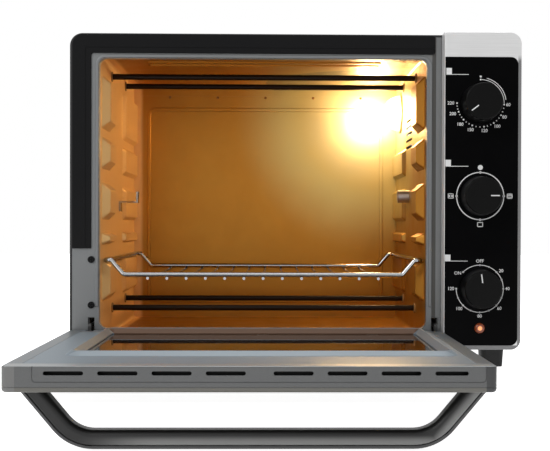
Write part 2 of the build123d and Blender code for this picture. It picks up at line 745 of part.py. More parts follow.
def make_spit_support():
    """The bracket on the left wall that carries the far end of a spit in its notch."""
    y0 = SPIT_Y - SUPPORT_W / 2
    y1 = SPIT_Y + SUPPORT_W / 2
    z = SPIT_Z - SUPPORT_DROP
    wall = CAV_X0 + RUN_FIT
    end = CAV_X0 + SUPPORT_REACH
    part = box(wall, wall + SUPPORT_T, y0, y1, z - 12, z)
    part += box(wall, end, y0, y1, z - SUPPORT_T, z)
    part += box(end - SUPPORT_T, end, y0, y1, z - SUPPORT_T, z + SUPPORT_UP)
    notch = along_x(Pos(SPIT_Y, SPIT_Z) * Circle(4.0), end - 4, end + 1)
    notch += box(end - 4, end + 1, SPIT_Y - 4.0, SPIT_Y + 4.0, SPIT_Z, SPIT_Z + 20)
    return part - notch


def make_drive_socket():
    """The turning socket for a spit's square end, with its shaft through the wall."""
    x = CAV_X1 - GAP
    socket = disc_x(x - SOCKET_L, x, SPIT_Y, SPIT_Z, SOCKET_R)
    socket = chamfer(socket.faces().sort_by(Axis.X)[0].edges(), 0.8)
    socket -= box(
        x - SOCKET_L - 1, x - SOCKET_L + SOCKET_HOLE_DEPTH,
        SPIT_Y - SOCKET_SQUARE / 2, SPIT_Y + SOCKET_SQUARE / 2,
        SPIT_Z - SOCKET_SQUARE / 2, SPIT_Z + SOCKET_SQUARE / 2,
    )
    return socket + disc_x(x, CAV_X1 + MOTOR_GAP + 12, SPIT_Y, SPIT_Z, DRIVE_SHAFT_R)


def make_motor():
    """The slow synchronous gear motor of the rotisserie, on the outside of the right wall."""
    x = CAV_X1 + MOTOR_GAP
    motor = disc_x(x, x + MOTOR_T, SPIT_Y, SPIT_Z, MOTOR_R)
    motor = fillet(motor.edges().filter_by(GeomType.CIRCLE), 1.5)
    motor += box(x, x + 1.2, SPIT_Y - MOTOR_EAR - 5, SPIT_Y + MOTOR_EAR + 5, SPIT_Z - 5, SPIT_Z + 5)
    motor += box(x + 4, x + 15, SPIT_Y + MOTOR_R - 4, SPIT_Y + MOTOR_R + 7, SPIT_Z + 6, SPIT_Z + 15)
    motor -= disc_x(x - 1, x + 14, SPIT_Y, SPIT_Z, DRIVE_SHAFT_R + RUN_FIT)
    for side in (-1, 1):
        motor -= disc_x(x - 1, x + 3, SPIT_Y + side * MOTOR_EAR, SPIT_Z, 1.5 + HOLE_FIT)
    return motor


def make_motor_screws():
    """Two screws with spacer sleeves that hang the motor on the cavity wall."""
    parts = []
    x = CAV_X1 + SHEET
    for side in (-1, 1):
        y = SPIT_Y + side * MOTOR_EAR
        sleeve = disc_x(x, CAV_X1 + MOTOR_GAP, y, SPIT_Z, 3.0)
        sleeve += disc_x(x, CAV_X1 + MOTOR_GAP + 3, y, SPIT_Z, 1.5)
        sleeve += disc_x(CAV_X1 + MOTOR_GAP + 1.2, CAV_X1 + MOTOR_GAP + 3.2, y, SPIT_Z, 2.9)
        parts.append(sleeve)
    return Compound(children=parts)


def rack_half(depth, toward):
    """Half of the rack's outer wire: one cross wire with its two drops, and half of each side rail."""
    y = FRONT + depth
    middle = FRONT + (RACK_FRONT_DEPTH + RACK_BACK_DEPTH) / 2
    low = RACK_Z - RACK_DROP
    x0 = RACK_X0 + RACK_SHOULDER
    x1 = RACK_X1 - RACK_SHOULDER
    points = (
        (RACK_X0, middle, RACK_Z),
        (RACK_X0, y, RACK_Z),
        (x0 + 1.5, y, RACK_Z),
        (x0 + RACK_SLOPE, y, low),
        (x1 - RACK_SLOPE, y, low),
        (x1 - 1.5, y, RACK_Z),
        (RACK_X1, y, RACK_Z),
        (RACK_X1, middle, RACK_Z),
    )
    radii = (4.0, 2.2, RACK_BEND_R, RACK_BEND_R, 2.2, 4.0)
    path = FilletPolyline(*points, radius=radii)
    start = Plane(origin=points[0], z_dir=(0, toward, 0))
    return sweep(start * Circle(RACK_WIRE_R), path=path)


def make_rack_frame():
    """The rack's closed outer wire, with a dropped middle."""
    return rack_half(RACK_FRONT_DEPTH, -1) + rack_half(RACK_BACK_DEPTH, 1)


def make_rack_grid():
    """The rack's long wires, welded under the dropped middle of its outer wire."""
    z = RACK_Z - RACK_DROP - RACK_WIRE_R - RACK_GRID_R + WELD
    y0 = FRONT + RACK_FRONT_DEPTH - 1.5
    y1 = FRONT + RACK_BACK_DEPTH + 1.5
    middle = (CAV_X0 + CAV_X1) / 2
    wires = []
    for i in range(RACK_GRID_COUNT):
        x = middle + (i - (RACK_GRID_COUNT - 1) / 2) * RACK_GRID_PITCH
        wires.append(disc_y(y0, y1, x, z, RACK_GRID_R))
    return Compound(children=wires)


def panel_outline(inset):
    """The panel's outline in (x, z), with large corners on the right only."""
    x0 = PANEL_X0 + inset
    x1 = RIGHT - inset
    z0 = BASE + inset
    z1 = TOP - inset
    flat = Pos((x0 + x1) / 2, (z0 + z1) / 2) * Rectangle(x1 - x0, z1 - z0)
    right = flat.vertices().sort_by(Axis.X)[-2:].sort_by(Axis.Y)
    flat = fillet(right[-1:], PANEL_R_TOP - inset)
    low = [v for v in flat.vertices() if abs(v.X - x1) < 0.01 and abs(v.Y - z0) < 0.01]
    return fillet(low, PANEL_R_BOTTOM - inset)


def fascia_outline(inset):
    """The gloss inset's outline in (x, z), rounded on the right."""
    x0 = PANEL_X0 + PANEL_WALL * 0.3 + inset
    x1 = RIGHT - FASCIA_INSET_RIGHT - inset
    z0 = BASE + FASCIA_INSET_BOTTOM + inset
    z1 = TOP - FASCIA_INSET_TOP - inset
    flat = Pos((x0 + x1) / 2, (z0 + z1) / 2) * Rectangle(x1 - x0, z1 - z0)
    right = [v for v in flat.vertices() if abs(v.X - x1) < 0.01]
    return fillet(right, FASCIA_R - inset)


def make_bezel():
    """The silver front shell of the control panel, with a pocket for the gloss inset."""
    shell = along_y(panel_outline(0), PANEL_FRONT, FRONT - 0.1)
    shell = fillet(shell.faces().sort_by(Axis.Y)[0].edges(), 0.6)
    shell -= along_y(panel_outline(PANEL_WALL), PANEL_FRONT + PANEL_FRONT_WALL, FRONT + 1)
    shell -= along_y(fascia_outline(0), PANEL_FRONT - 1, PANEL_FRONT + FASCIA_T + 0.1)
    for z in DIAL_ZS:
        shell -= disc_y(PANEL_FRONT - 1, FRONT, DIAL_X, z, 6.0)
    shell -= disc_y(PANEL_FRONT - 1, FRONT, DIAL_X, PILOT_Z, PILOT_R + HOLE_FIT)
    return shell


def make_fascia():
    """The gloss black inset that the dials are printed on."""
    fascia = along_y(fascia_outline(0.15), PANEL_FRONT + 0.1, PANEL_FRONT + 0.1 + FASCIA_T)
    for z in DIAL_ZS:
        fascia -= disc_y(PANEL_FRONT - 1, FRONT, DIAL_X, z, SHAFT_R + 1.0)
    return fascia - disc_y(PANEL_FRONT - 1, FRONT, DIAL_X, PILOT_Z, PILOT_R + HOLE_FIT)


def make_control_plate():
    """The steel plate behind the panel that carries the three controls and the pilot lamp."""
    y = CONTROL_PLATE_Y
    x0 = PANEL_X0 + PANEL_WALL + 0.2
    x1 = RIGHT - PANEL_WALL - 0.2
    plate = box(x0, x1, y, CONTROL_BACK_Y, BASE + 12, TOP - 14)
    for z in DIAL_ZS:
        plate -= disc_y(y - 1, y + 3, DIAL_X, z, BUSHING_R + HOLE_FIT)
    return plate - disc_y(y - 1, y + 3, DIAL_X, PILOT_Z, PILOT_HOLDER_R + HOLE_FIT)


def control_nose(z):
    """The fixed bushing that a control's shaft turns in."""
    nose = disc_y(CONTROL_PLATE_Y - 2.6, CONTROL_BACK_Y + 4, DIAL_X, z, BUSHING_R)
    nut = along_y(Pos(DIAL_X, z) * RegularPolygon(7.0, 6), CONTROL_PLATE_Y - 2.2, CONTROL_PLATE_Y)
    return nose + nut


def shaft_bore(z, end):
    """The bore that a control's shaft turns in, down to its end."""
    return disc_y(CONTROL_PLATE_Y - 9, end + 1.0, DIAL_X, z, SHAFT_R + RUN_FIT)


def make_thermostat():
    """The capillary thermostat behind the upper knob."""
    z = DIAL_ZS[0]
    y = CONTROL_BACK_Y
    body = along_y(Pos(DIAL_X, z) * RectangleRounded(34, 40, 3), y, y + 24)
    body += disc_y(y + 24, y + 29, DIAL_X, z, 14)
    for dx in (-9, 9):
        body += box(DIAL_X + dx - 3.2, DIAL_X + dx + 3.2, y + 6, y + 16, z + 20, z + 28)
    return body + control_nose(z) - shaft_bore(z, SHAFT_END_Y)


def make_function_switch():
    """The four-position rotary switch behind the middle knob."""
    z = DIAL_ZS[1]
    y = CONTROL_BACK_Y
    body = along_y(Pos(DIAL_X, z) * RectangleRounded(40, 40, 2), y, y + 22)
    body += disc_y(y + 22, y + 27, DIAL_X, z, 17)
    for i in range(4):
        dz = -12 + i * 8
        body += box(DIAL_X - 28, DIAL_X - 19, y + 8, y + 9.0, z + dz - 2.4, z + dz + 2.4)
    return body + control_nose(z) - shaft_bore(z, SHAFT_END_Y)


def make_timer():
    """The clockwork timer behind the lower knob."""
    z = DIAL_ZS[2]
    y = CONTROL_BACK_Y
    body = along_y(Pos(DIAL_X, z) * RectangleRounded(52, 52, 3), y, y + 26)
    body += disc_y(y + 26, y + 30, DIAL_X, z, 3.0)
    return body + control_nose(z) - shaft_bore(z, SHAFT_END_Y)


def make_bell():
    """The timer's bell, a shallow steel dome on the back of the timer."""
    z = DIAL_ZS[2]
    y = CONTROL_BACK_Y + 30
    cup = disc_y(y, y + 11, DIAL_X, z, 21)
    cup = fillet(cup.faces().sort_by(Axis.Y)[-1].edges(), 6.0)
    cup -= disc_y(y + 1, y + 9.8, DIAL_X, z, 19.5) & disc_y(y - 1, y + 9.8, DIAL_X, z, 19.5)
    hub = disc_y(y, y + 10, DIAL_X, z, 3.0)
    return cup + hub


def make_shaft(z):
    """A control's turning shaft, from inside the control to inside the knob."""
    return disc_y(knob_back() - SHAFT_IN_KNOB, SHAFT_END_Y, DIAL_X, z, SHAFT_R)


def knob_back():
    """The plane of a knob's back face."""
    return PANEL_FRONT - KNOB_CLEAR


def make_knob(z):
    """A slightly tapered round knob, bored for its shaft."""
    y = knob_back()
    plane = Plane((DIAL_X, y, z), x_dir=(1, 0, 0), z_dir=(0, -1, 0))
    knob = loft([plane * Circle(KNOB_BASE_R), plane.offset(KNOB_H) * Circle(KNOB_FACE_R)])
    knob = fillet(knob.faces().sort_by(Axis.Y)[0].edges(), KNOB_EDGE_R)
    knob -= plane * Pos(0, 0, 2.5) * Cylinder(KNOB_BASE_R - 3.0, 7.0)
    knob += plane * Pos(0, 0, 4.0) * Cylinder(6.0, 6.0)
    return knob - disc_y(y - SHAFT_IN_KNOB - 0.2, y + 2, DIAL_X, z, SHAFT_R + 0.02)


def make_pilot_lens():
    """The orange pilot lens, a low dome with a body behind the panel."""
    lens = disc_y(PANEL_FRONT - PILOT_DOME, PANEL_FRONT + 6, DIAL_X, PILOT_Z, PILOT_R)
    lens = fillet(lens.faces().sort_by(Axis.Y)[0].edges(), PILOT_DOME * 0.8)
    return lens - disc_y(PANEL_FRONT + 1, PANEL_FRONT + 7, DIAL_X, PILOT_Z, 3.6)


def make_pilot_lamp():
    """The neon pilot lamp in its holder, behind the lens."""
    lamp = disc_y(PANEL_FRONT + 2, CONTROL_BACK_Y + 14, DIAL_X, PILOT_Z, 3.2)
    collar = disc_y(PANEL_FRONT + 6.1, CONTROL_BACK_Y + 6, DIAL_X, PILOT_Z, PILOT_HOLDER_R)
    return lamp + collar


def make_terminal_block():
    """The screw terminal block that the mains lead and the wiring meet in."""
    x0 = RIGHT - 62
    y0 = BACK - 70
    z0 = BASE + SHEET
    block = box(x0, x0 + 30, y0, y0 + 18, z0, z0 + 14)
    block -= box(x0 + 2, x0 + 28, y0 - 1, y0 + 4, z0 + 9, z0 + 15)
    for i in range(3):
        block -= disc_z(z0 + 6, z0 + 15, x0 + 6 + i * 9, y0 + 9, 2.2)
    return block


def make_cord_gland():
    """The moulded gland in the rear cover where the mains lead enters."""
    flange = disc_y(BACK, BACK + 4, GLAND_X, GLAND_Z, GLAND_R + 3)
    flange = fillet(flange.faces().sort_by(Axis.Y)[-1].edges(), 1.5)
    neck = disc_y(BACK - 8, BACK, GLAND_X, GLAND_Z, GLAND_R)
    boss = disc_y(BACK + 4, BACK + 8, GLAND_X, GLAND_Z, GLAND_R - 2)
    return flange + neck + boss - disc_y(BACK - 10, BACK + 10, GLAND_X, GLAND_Z, 3.6)


def hinge_hand(x):
    """Which way the outside of the body lies from a hinge: -1 on the left, 1 on the right."""
    return -1 if x < 0 else 1


def span(a, b):
    """Two coordinates in rising order."""
    return min(a, b), max(a, b)


def make_hinge_bracket(x):
    """The fixed half of a hinge: two cheeks through the frame's slot and an arm for the spring."""
    back = FRONT + HINGE_BACK_DEPTH
    hand = hinge_hand(x)
    low = HINGE_Z - HINGE_KNUCKLE_R + 0.5
    high = HINGE_Z + HINGE_KNUCKLE_R - 0.5
    nose = Pos(HINGE_Y, HINGE_Z) * Circle((high - low) / 2)
    tongue = Pos((HINGE_Y + back) / 2, HINGE_Z) * Rectangle(back - HINGE_Y, high - low)
    inside = HINGE_ARM_T / 2 + HINGE_CHEEK_GAP
    bracket = along_x(nose + tongue, x - CHEEK_OUT, x - inside)
    bracket += along_x(nose + tongue, x + inside, x + CHEEK_OUT)
    leg = span(x + hand * inside, x + hand * CHEEK_OUT)
    bracket += box(*leg, FRONT + SHEET, FRONT + 12, low, HINGE_SCREW_ZS[1] + 6)
    reach = SPRING_R + 0.8
    arm = span(x + hand * reach, x + hand * (reach + HINGE_CHEEK_T))
    bracket += box(*span(x - hand * CHEEK_OUT, x + hand * (reach + HINGE_CHEEK_T)),
                   back - 1.5, back, low, high)
    bracket += box(*arm, back - 1.5, ANCHOR_Y + 4, low, SPRING_Z + 5)
    bracket += box(*span(x - hand * 2.0, arm[0 if hand < 0 else 1]),
                   ANCHOR_Y + 2.5, ANCHOR_Y + 4, SPRING_Z - 5, SPRING_Z + 5)
    if x < 0:
        bracket += box(
            leg[0], x + 3, FRONT + SHEET, FRONT + SHEET + 1.5,
            HINGE_SCREW_ZS[0] - 5, HINGE_SCREW_ZS[1] + 6,
        )
        for z in HINGE_SCREW_ZS:
            bracket -= disc_y(FRONT, FRONT + 5, x, z, 1.75)
    return bracket - disc_x(x - 9, x + 9, HINGE_Y, HINGE_Z, HINGE_PIN_R + RUN_FIT)


def make_hinge_screws():
    """Two screws on the front that hold the left hinge bracket."""
    screws = []
    for z in HINGE_SCREW_ZS:
        screws.append(screw_y(HINGE_LEFT_X, FRONT, z, 3.6, 1.9, 1.7, 6.0, -1))
    return Compound(children=screws)


def make_hinge_arm(x):
    """The moving half of a hinge: a knuckle, a tongue inside the door and an upright tail."""
    half = HINGE_ARM_T / 2
    knuckle = Pos(HINGE_Y, HINGE_Z) * Circle(HINGE_KNUCKLE_R)
    tongue_low = INNER_PANEL_Z - 6.0
    tongue_mid = (tongue_low + INNER_PANEL_Z) / 2
    tongue = Pos(HINGE_Y - HINGE_ARM_L / 2, tongue_mid) * Rectangle(HINGE_ARM_L, 6.0)
    tail = Pos(HINGE_Y, HINGE_Z + HINGE_TAIL / 2) * Rectangle(7.0, HINGE_TAIL)
    tip = Pos(HINGE_Y, HINGE_Z + HINGE_TAIL) * Circle(3.5)
    flat = knuckle + tongue + tail + tip
    arm = along_x(flat, x - half, x + half)
    inner = x - hinge_hand(x) * 9.0
    foot = box(
        min(x, inner), max(x, inner), HINGE_Y - HINGE_ARM_L, HINGE_Y - 18,
        INNER_PANEL_Z - 2.0, INNER_PANEL_Z,
    )
    arm += foot
    arm -= disc_x(x - 9, x + 9, HINGE_Y, HINGE_Z, HINGE_PIN_R)
    return arm


def make_hinge_pins():
    """The two hinge pins."""
    pins = []
    for x in (HINGE_LEFT_X, HINGE_RIGHT_X):
        pins.append(disc_x(x - CHEEK_OUT - 0.2, x + CHEEK_OUT + 0.2, HINGE_Y, HINGE_Z, HINGE_PIN_R))
    return Compound(children=pins)


def make_spring(x):
    """The hinge's pull spring, with a hook rod to the tail and one to the bracket's anchor."""
    coil = disc_y(SPRING_START, SPRING_START + SPRING_L, x, SPRING_Z, SPRING_R)
    front = disc_y(HINGE_Y + 4.0, SPRING_START, x, SPRING_Z, SPRING_WIRE_R)
    rear = disc_y(SPRING_START + SPRING_L, ANCHOR_Y + 2.4, x, SPRING_Z, SPRING_WIRE_R)
    return coil + front + rear


def door_outline(inset):
    """The door's outline in (x, y)."""
    return rrect(
        DOOR_X0 + inset, DOOR_X1 - inset, DOOR_FRONT + inset, DOOR_REAR - inset,
        max(DOOR_CORNER_R - inset, 1.0),
    )


def field_outline(inset):
    """The outline inside the door's hem, in (x, y)."""
    return rrect(
        DOOR_X0 + DOOR_HEM_SIDE + inset, DOOR_X1 - DOOR_HEM_SIDE - inset,
        DOOR_FRONT + DOOR_HEM_FRONT + inset, DOOR_REAR - DOOR_HEM_REAR - inset, 4.0 - inset,
    )


def ridge_outline(grow):
    """The outline of the window bead's crest in (x, y), grown by a margin."""
    return rrect(
        CAV_X0 + RIDGE_SIDE_LEFT - grow, CAV_X1 - RIDGE_SIDE_RIGHT + grow,
        DOOR_REAR - RIDGE_FRONT - grow, DOOR_REAR - RIDGE_REAR + grow, RIDGE_R + grow,
    )


def window_outline(grow):
    """The window's outline in (x, y), grown by a margin."""
    return ridge_outline(grow - RIDGE_SLOPE_IN)


def hinge_pocket(x):
    """Room in the door's rear edge for the fixed half of a hinge."""
    half = CHEEK_OUT + GAP + 0.4
    y0 = HINGE_Y - HINGE_KNUCKLE_R - 1.5
    return box(x - half, x + half, y0, DOOR_REAR + 1, DOOR_BOTTOM_Z + 8.0, DOOR_TOP_Z + 1)


def slot_starts():
    """Left ends and lengths of the vent slots in the door's upper edge: two groups of four."""
    starts = []
    for first in (SLOT_FIRST_LEFT, SLOT_SECOND_LEFT):
        for i in range(4):
            starts.append([DOOR_X0 + first + i * SLOT_PITCH, SLOT_L])
    starts[-1][1] = SLOT_LAST_L
    return starts


def handle_feet():
    """The centres of the handle's two feet on the door's face."""
    return (HANDLE_CENTRE_X - HANDLE_FOOT_SPAN / 2, HANDLE_CENTRE_X + HANDLE_FOOT_SPAN / 2)


def handle_screw_places():
    """The handle's four screws in (x, y), a little inwards of the middle of its sloping feet."""
    left, right = handle_feet()
    places = []
    for x in (left + HANDLE_SCREW_IN, right - HANDLE_SCREW_IN):
        for side in (-1, 1):
            places.append((x, HANDLE_Y + side * HANDLE_SCREW_DY))
    return places


def make_door_frame():
    """The door's outer pan: face, four walls and a hem turned in around the inner side."""
    pan = along_z(door_outline(0), DOOR_BOTTOM_Z, DOOR_TOP_Z)
    pan = fillet(pan.faces().sort_by(Axis.Z)[0].edges(), DOOR_EDGE_R)
    pan = fillet(rim_edges(pan, Axis.Z, True), DOOR_TOP_EDGE_R)
    hollow = rrect(
        DOOR_X0 + DOOR_FRONT_WALL, DOOR_X1 - DOOR_FRONT_WALL,
        DOOR_FRONT + DOOR_FRONT_WALL, DOOR_REAR - DOOR_WALL,
        DOOR_CORNER_R - DOOR_FRONT_WALL,
    )
    pan -= along_z(hollow, DOOR_BOTTOM_Z + DOOR_WALL, DOOR_TOP_Z - DOOR_WALL)
    pan += box(
        DOOR_X0 + 6, DOOR_X1 - 6, DOOR_FRONT + DOOR_WEB_DEPTH, DOOR_FRONT + DOOR_WEB_DEPTH + SHEET,
        DOOR_BOTTOM_Z + 0.5, INNER_PANEL_Z - GAP,
    )
    pan -= along_z(field_outline(0), DOOR_TOP_Z - DOOR_WALL - 1, DOOR_TOP_Z + 1)
    pan -= along_z(window_outline(0), DOOR_BOTTOM_Z - 1, DOOR_BOTTOM_Z + 5)
    x0 = DOOR_X0 + EDGE_PANEL_LEFT_IN
    x1 = DOOR_X1 - EDGE_PANEL_RIGHT_IN
    z0 = DOOR_BOTTOM_Z + EDGE_PANEL_LIFT
    z1 = DOOR_TOP_Z + 12
    seam = rrect(x0, x1, z0, z1, 3.5) - rrect(x0 + SEAM_W, x1 - SEAM_W, z0 + SEAM_W, z1, 3.5 - SEAM_W)
    pan -= along_y(seam, DOOR_FRONT - 5, DOOR_FRONT + SEAM_DEPTH)
    line = door_outline(-1) - door_outline(0.4)
    line_z = DOOR_BOTTOM_Z + DOOR_LINE_LIFT
    pan -= along_z(line, line_z - 0.3, line_z + 0.3)
    z = DOOR_TOP_Z - SLOT_TOP_DROP
    for start, length in slot_starts():
        slot = Pos(start + length / 2, z) * SlotOverall(length, SLOT_H)
        pan -= along_y(slot, DOOR_FRONT - 1, DOOR_FRONT + DOOR_FRONT_WALL + 1)
    for x in (HINGE_LEFT_X, HINGE_RIGHT_X):
        pan -= hinge_pocket(x)
    for x, y in handle_screw_places():
        pan -= disc_z(DOOR_BOTTOM_Z - 1, DOOR_BOTTOM_Z + 5, x, y, 2.0 + HOLE_FIT)
    return pan


def make_inner_panel():
    """The door's inner sheet: its rim lies under the hem, and a bead stands around the window."""
    z0 = INNER_PANEL_Z
    edge = DOOR_FRONT_WALL + 1.2
    sheet = along_z(
        rrect(DOOR_X0 + edge, DOOR_X1 - edge, DOOR_FRONT + edge, DOOR_REAR - edge, 5.0),
        z0, z0 + SHEET,
    )
    sheet += along_z(field_outline(GAP), z0, DOOR_TOP_Z)
    crest = DOOR_TOP_Z + RIDGE_H
    half = RIDGE_CREST_W / 2
    bead = loft([
        Plane.XY.offset(DOOR_TOP_Z - 0.01) * ridge_outline(RIDGE_SLOPE_OUT),
        Plane.XY.offset(crest) * ridge_outline(half),
    ])
    bead = fillet(rim_edges(bead, Axis.Z, True), 0.7)
    sheet += bead
    sheet -= loft([
        Plane.XY.offset(z0 + WINDOW_LIP) * window_outline(0),
        Plane.XY.offset(crest + 0.01) * ridge_outline(-half),
    ])
    sheet -= along_z(window_outline(0), z0 - 1, z0 + WINDOW_LIP + 0.1)
    for x in (HINGE_LEFT_X, HINGE_RIGHT_X):
        sheet -= hinge_pocket(x)
    return sheet


def make_inner_glass():
    """The inner pane, under the inner sheet."""
    return along_z(window_outline(GLASS_EDGE), INNER_GLASS_Z - GLASS_T, INNER_GLASS_Z)


def make_outer_glass():
    """The outer pane, inside the door's face."""
    z = DOOR_BOTTOM_Z + DOOR_WALL
    return along_z(window_outline(GLASS_EDGE + 4), z, z + GLASS_T)


def make_glass_retainer():
    """The frame that presses the outer pane against the door's face."""
    z = DOOR_BOTTOM_Z + DOOR_WALL + GLASS_T
    ring = along_z(window_outline(GLASS_EDGE + 9), z, z + 1.2) - along_z(window_outline(1), z - 1, z + 3)
    skirt = along_z(window_outline(GLASS_EDGE + 9), DOOR_BOTTOM_Z + DOOR_WALL, z)
    return ring + skirt - along_z(window_outline(GLASS_EDGE + 4.3), DOOR_BOTTOM_Z, z)


def clip_places():
    """Where the inner pane's clips sit along its two long sides."""
    places = []
    y0 = DOOR_REAR - RIDGE_FRONT + RIDGE_SLOPE_IN - GLASS_EDGE
    y1 = DOOR_REAR - RIDGE_REAR - RIDGE_SLOPE_IN + GLASS_EDGE
    middle = (CAV_X0 + CAV_X1) / 2
    for x in (middle - CAVITY_W * 0.33, middle, middle + CAVITY_W * 0.33):
        places.append((x, y0, -1))
        places.append((x, y1, 1))
    return places


def make_glass_clips():
    """Six bent clips that hold the inner pane up against the lip."""
    clips = []
    z = INNER_GLASS_Z - GLASS_T
    for x, y, side in clip_places():
        end = y + side * CLIP_REACH
        heel = y + side * 1.0
        clip = box(x - CLIP_W / 2, x + CLIP_W / 2, *span(y - side * 4.0, end), z - 1.0, z)
        clip += box(x - CLIP_W / 2, x + CLIP_W / 2, *span(heel, end), z - 1.0, INNER_PANEL_Z)
        clips.append(clip)
    return Compound(children=clips)


def handle_path():
    """The line through the middle of the bail, with both ends carried on into the door."""
    extra = 20.0
    slope = tan(radians(HANDLE_ANGLE))
    left, right = handle_feet()
    top = DOOR_BOTTOM_Z + extra
    low = DOOR_BOTTOM_Z - HANDLE_REACH + HANDLE_W / 2
    reach = (DOOR_BOTTOM_Z - low) / slope
    points = (
        (left - extra / slope, HANDLE_Y, top),
        (left + reach, HANDLE_Y, low),
        (right - reach, HANDLE_Y, low),
        (right + extra / slope, HANDLE_Y, top),
    )
    return FilletPolyline(*points, radius=HANDLE_BEND_R), points[0]


def handle_bar(low, high, low_r, high_r):
    """A length of the bail between two distances from its middle, positive towards its inside."""
    path, start = handle_path()
    angle = radians(HANDLE_ANGLE)
    plane = Plane(start, x_dir=(0, 1, 0), z_dir=(cos(angle), 0, -sin(angle)))
    section = Pos(0, (low + high) / 2) * Rectangle(HANDLE_DEPTH, high - low)
    corners = section.vertices().sort_by(Axis.Y)
    section = fillet(corners[-2:], high_r)
    corners = section.vertices().sort_by(Axis.Y)
    section = fillet(corners[:2], low_r)
    bar = sweep(plane * section, path=path)
    return bar - box(-400, 400, HANDLE_Y - 40, HANDLE_Y + 40, DOOR_BOTTOM_Z, DOOR_BOTTOM_Z + 80)


def handle_screw_holes(r, depth):
    """Cylinders for the handle's screws, up into its feet."""
    top = DOOR_BOTTOM_Z + DOOR_WALL
    return [disc_z(DOOR_BOTTOM_Z - depth, top, x, y, r) for x, y in handle_screw_places()]


def make_handle():
    """The door's bail handle, rounded towards the door."""
    half = HANDLE_W / 2
    bar = handle_bar(-half + HANDLE_FACING_T + HANDLE_LINE, half, 1.0, HANDLE_ROUND)
    for hole in handle_screw_holes(2.0, 9.2):
        bar -= hole
    return bar


def make_handle_facing():
    """The strip along the handle's outer side."""
    half = HANDLE_W / 2
    return handle_bar(-half, -half + HANDLE_FACING_T, HANDLE_FACING_R, 0.5)


def make_handle_screws():
    """Four screws from inside the door into the handle's feet."""
    screws = []
    z = DOOR_BOTTOM_Z + DOOR_WALL
    for x, y in handle_screw_places():
        head = disc_z(z, z + 2.2, x, y, 3.8)
        screws.append(head + disc_z(DOOR_BOTTOM_Z - 9, z, x, y, 2.0))
    return Compound(children=screws)


def build_nodes():
    """Every part by the name of its node."""
    nodes = {
        "casing_wrap": make_casing(),
        "back_cover": make_back_cover(),
        "cover_screws": make_cover_screws(),
        "base_plate": make_base_plate(),
        "feet": make_feet(),
        "foot_screws": make_foot_screws(),
        "front_frame": make_front_frame(),
        "front_trim_band": make_trim_band(),
        "cavity_liner": make_liner(),
        "cavity_back": make_cavity_back(),
        "liner_rivets": make_rivets(),
        "heater_bushes": make_bushes(),
        "heater_terminals": make_terminals(),
        "lamp_ring": make_lamp_ring(),
        "lamp_cover": make_lamp_cover(),
        "lamp_bulb": make_bulb(),
        "lamp_socket": make_lamp_socket(),
        "spit_support": make_spit_support(),
        "drive_socket": make_drive_socket(),
        "rotisserie_motor": make_motor(),
        "motor_screws": make_motor_screws(),
        "rack_frame": make_rack_frame(),
        "rack_grid": make_rack_grid(),
        "panel_bezel": make_bezel(),
        "panel_fascia": make_fascia(),
        "control_plate": make_control_plate(),
        "thermostat": make_thermostat(),
        "function_switch": make_function_switch(),
        "timer": make_timer(),
        "timer_bell": make_bell(),
        "pilot_lens": make_pilot_lens(),
        "pilot_lamp": make_pilot_lamp(),
        "terminal_block": make_terminal_block(),
        "cord_gland": make_cord_gland(),
        "hinge_screws": make_hinge_screws(),
        "hinge_pins": make_hinge_pins(),
        "hinge_springs": Compound(children=[make_spring(HINGE_LEFT_X), make_spring(HINGE_RIGHT_X)]),
        "door_frame": make_door_frame(),
        "door_inner_panel": make_inner_panel(),
        "inner_glass": make_inner_glass(),
        "outer_glass": make_outer_glass(),
        "glass_retainer": make_glass_retainer(),
        "glass_clips": make_glass_clips(),
        "door_handle": make_handle(),
        "handle_facing": make_handle_facing(),
        "handle_screws": make_handle_screws(),
    }
    for name in rod_places():
        nodes[name] = make_rod(name)
    for name, z in zip(("temperature", "function", "timer"), DIAL_ZS):
        nodes[name + "_knob"] = make_knob(z)
        nodes[name + "_shaft"] = make_shaft(z)
    for name, x in (("left", HINGE_LEFT_X), ("right", HINGE_RIGHT_X)):
        nodes["hinge_bracket_" + name] = make_hinge_bracket(x)
        nodes["hinge_arm_" + name] = make_hinge_arm(x)
    return nodes


os.makedirs("parts", exist_ok=True)
for node, solid in build_nodes().items():
    export_step(solid, os.path.join("parts", node + ".step"))
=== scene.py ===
"""A countertop oven with a drop-down glass door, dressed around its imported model.

Metres, +Z up, the front faces -Y, and the origin lies on the plane of the feet under the body.
"""
from math import cos, pi, radians, sin

import bpy
from mathutils import Matrix, Vector


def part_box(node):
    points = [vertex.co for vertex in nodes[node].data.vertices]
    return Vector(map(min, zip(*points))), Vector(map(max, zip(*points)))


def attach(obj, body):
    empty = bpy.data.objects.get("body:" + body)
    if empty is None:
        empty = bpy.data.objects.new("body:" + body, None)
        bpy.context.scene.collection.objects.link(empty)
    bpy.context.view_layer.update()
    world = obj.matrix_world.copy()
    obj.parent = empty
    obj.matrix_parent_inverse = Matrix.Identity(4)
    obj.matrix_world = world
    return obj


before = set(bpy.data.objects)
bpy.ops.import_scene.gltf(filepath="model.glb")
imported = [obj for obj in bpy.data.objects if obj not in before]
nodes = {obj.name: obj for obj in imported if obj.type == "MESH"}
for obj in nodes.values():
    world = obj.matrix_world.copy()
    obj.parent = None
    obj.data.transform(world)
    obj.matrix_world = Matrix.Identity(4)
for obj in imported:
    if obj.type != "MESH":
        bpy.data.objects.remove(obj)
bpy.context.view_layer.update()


# The camera stands in front of the oven, level with the middle of the cavity and a little to the
# left. Its place, turn and lens come from the oven's own straight edges in the photograph.
camera_data = bpy.data.cameras.new("camera")
camera_data.sensor_width = 36.0
camera_data.lens = 1198.77 / 550 * 36.0
camera_data.shift_x = -0.0393
camera_data.shift_y = 0.0235
camera_data.clip_start = 0.05
camera = bpy.data.objects.new("camera", camera_data)
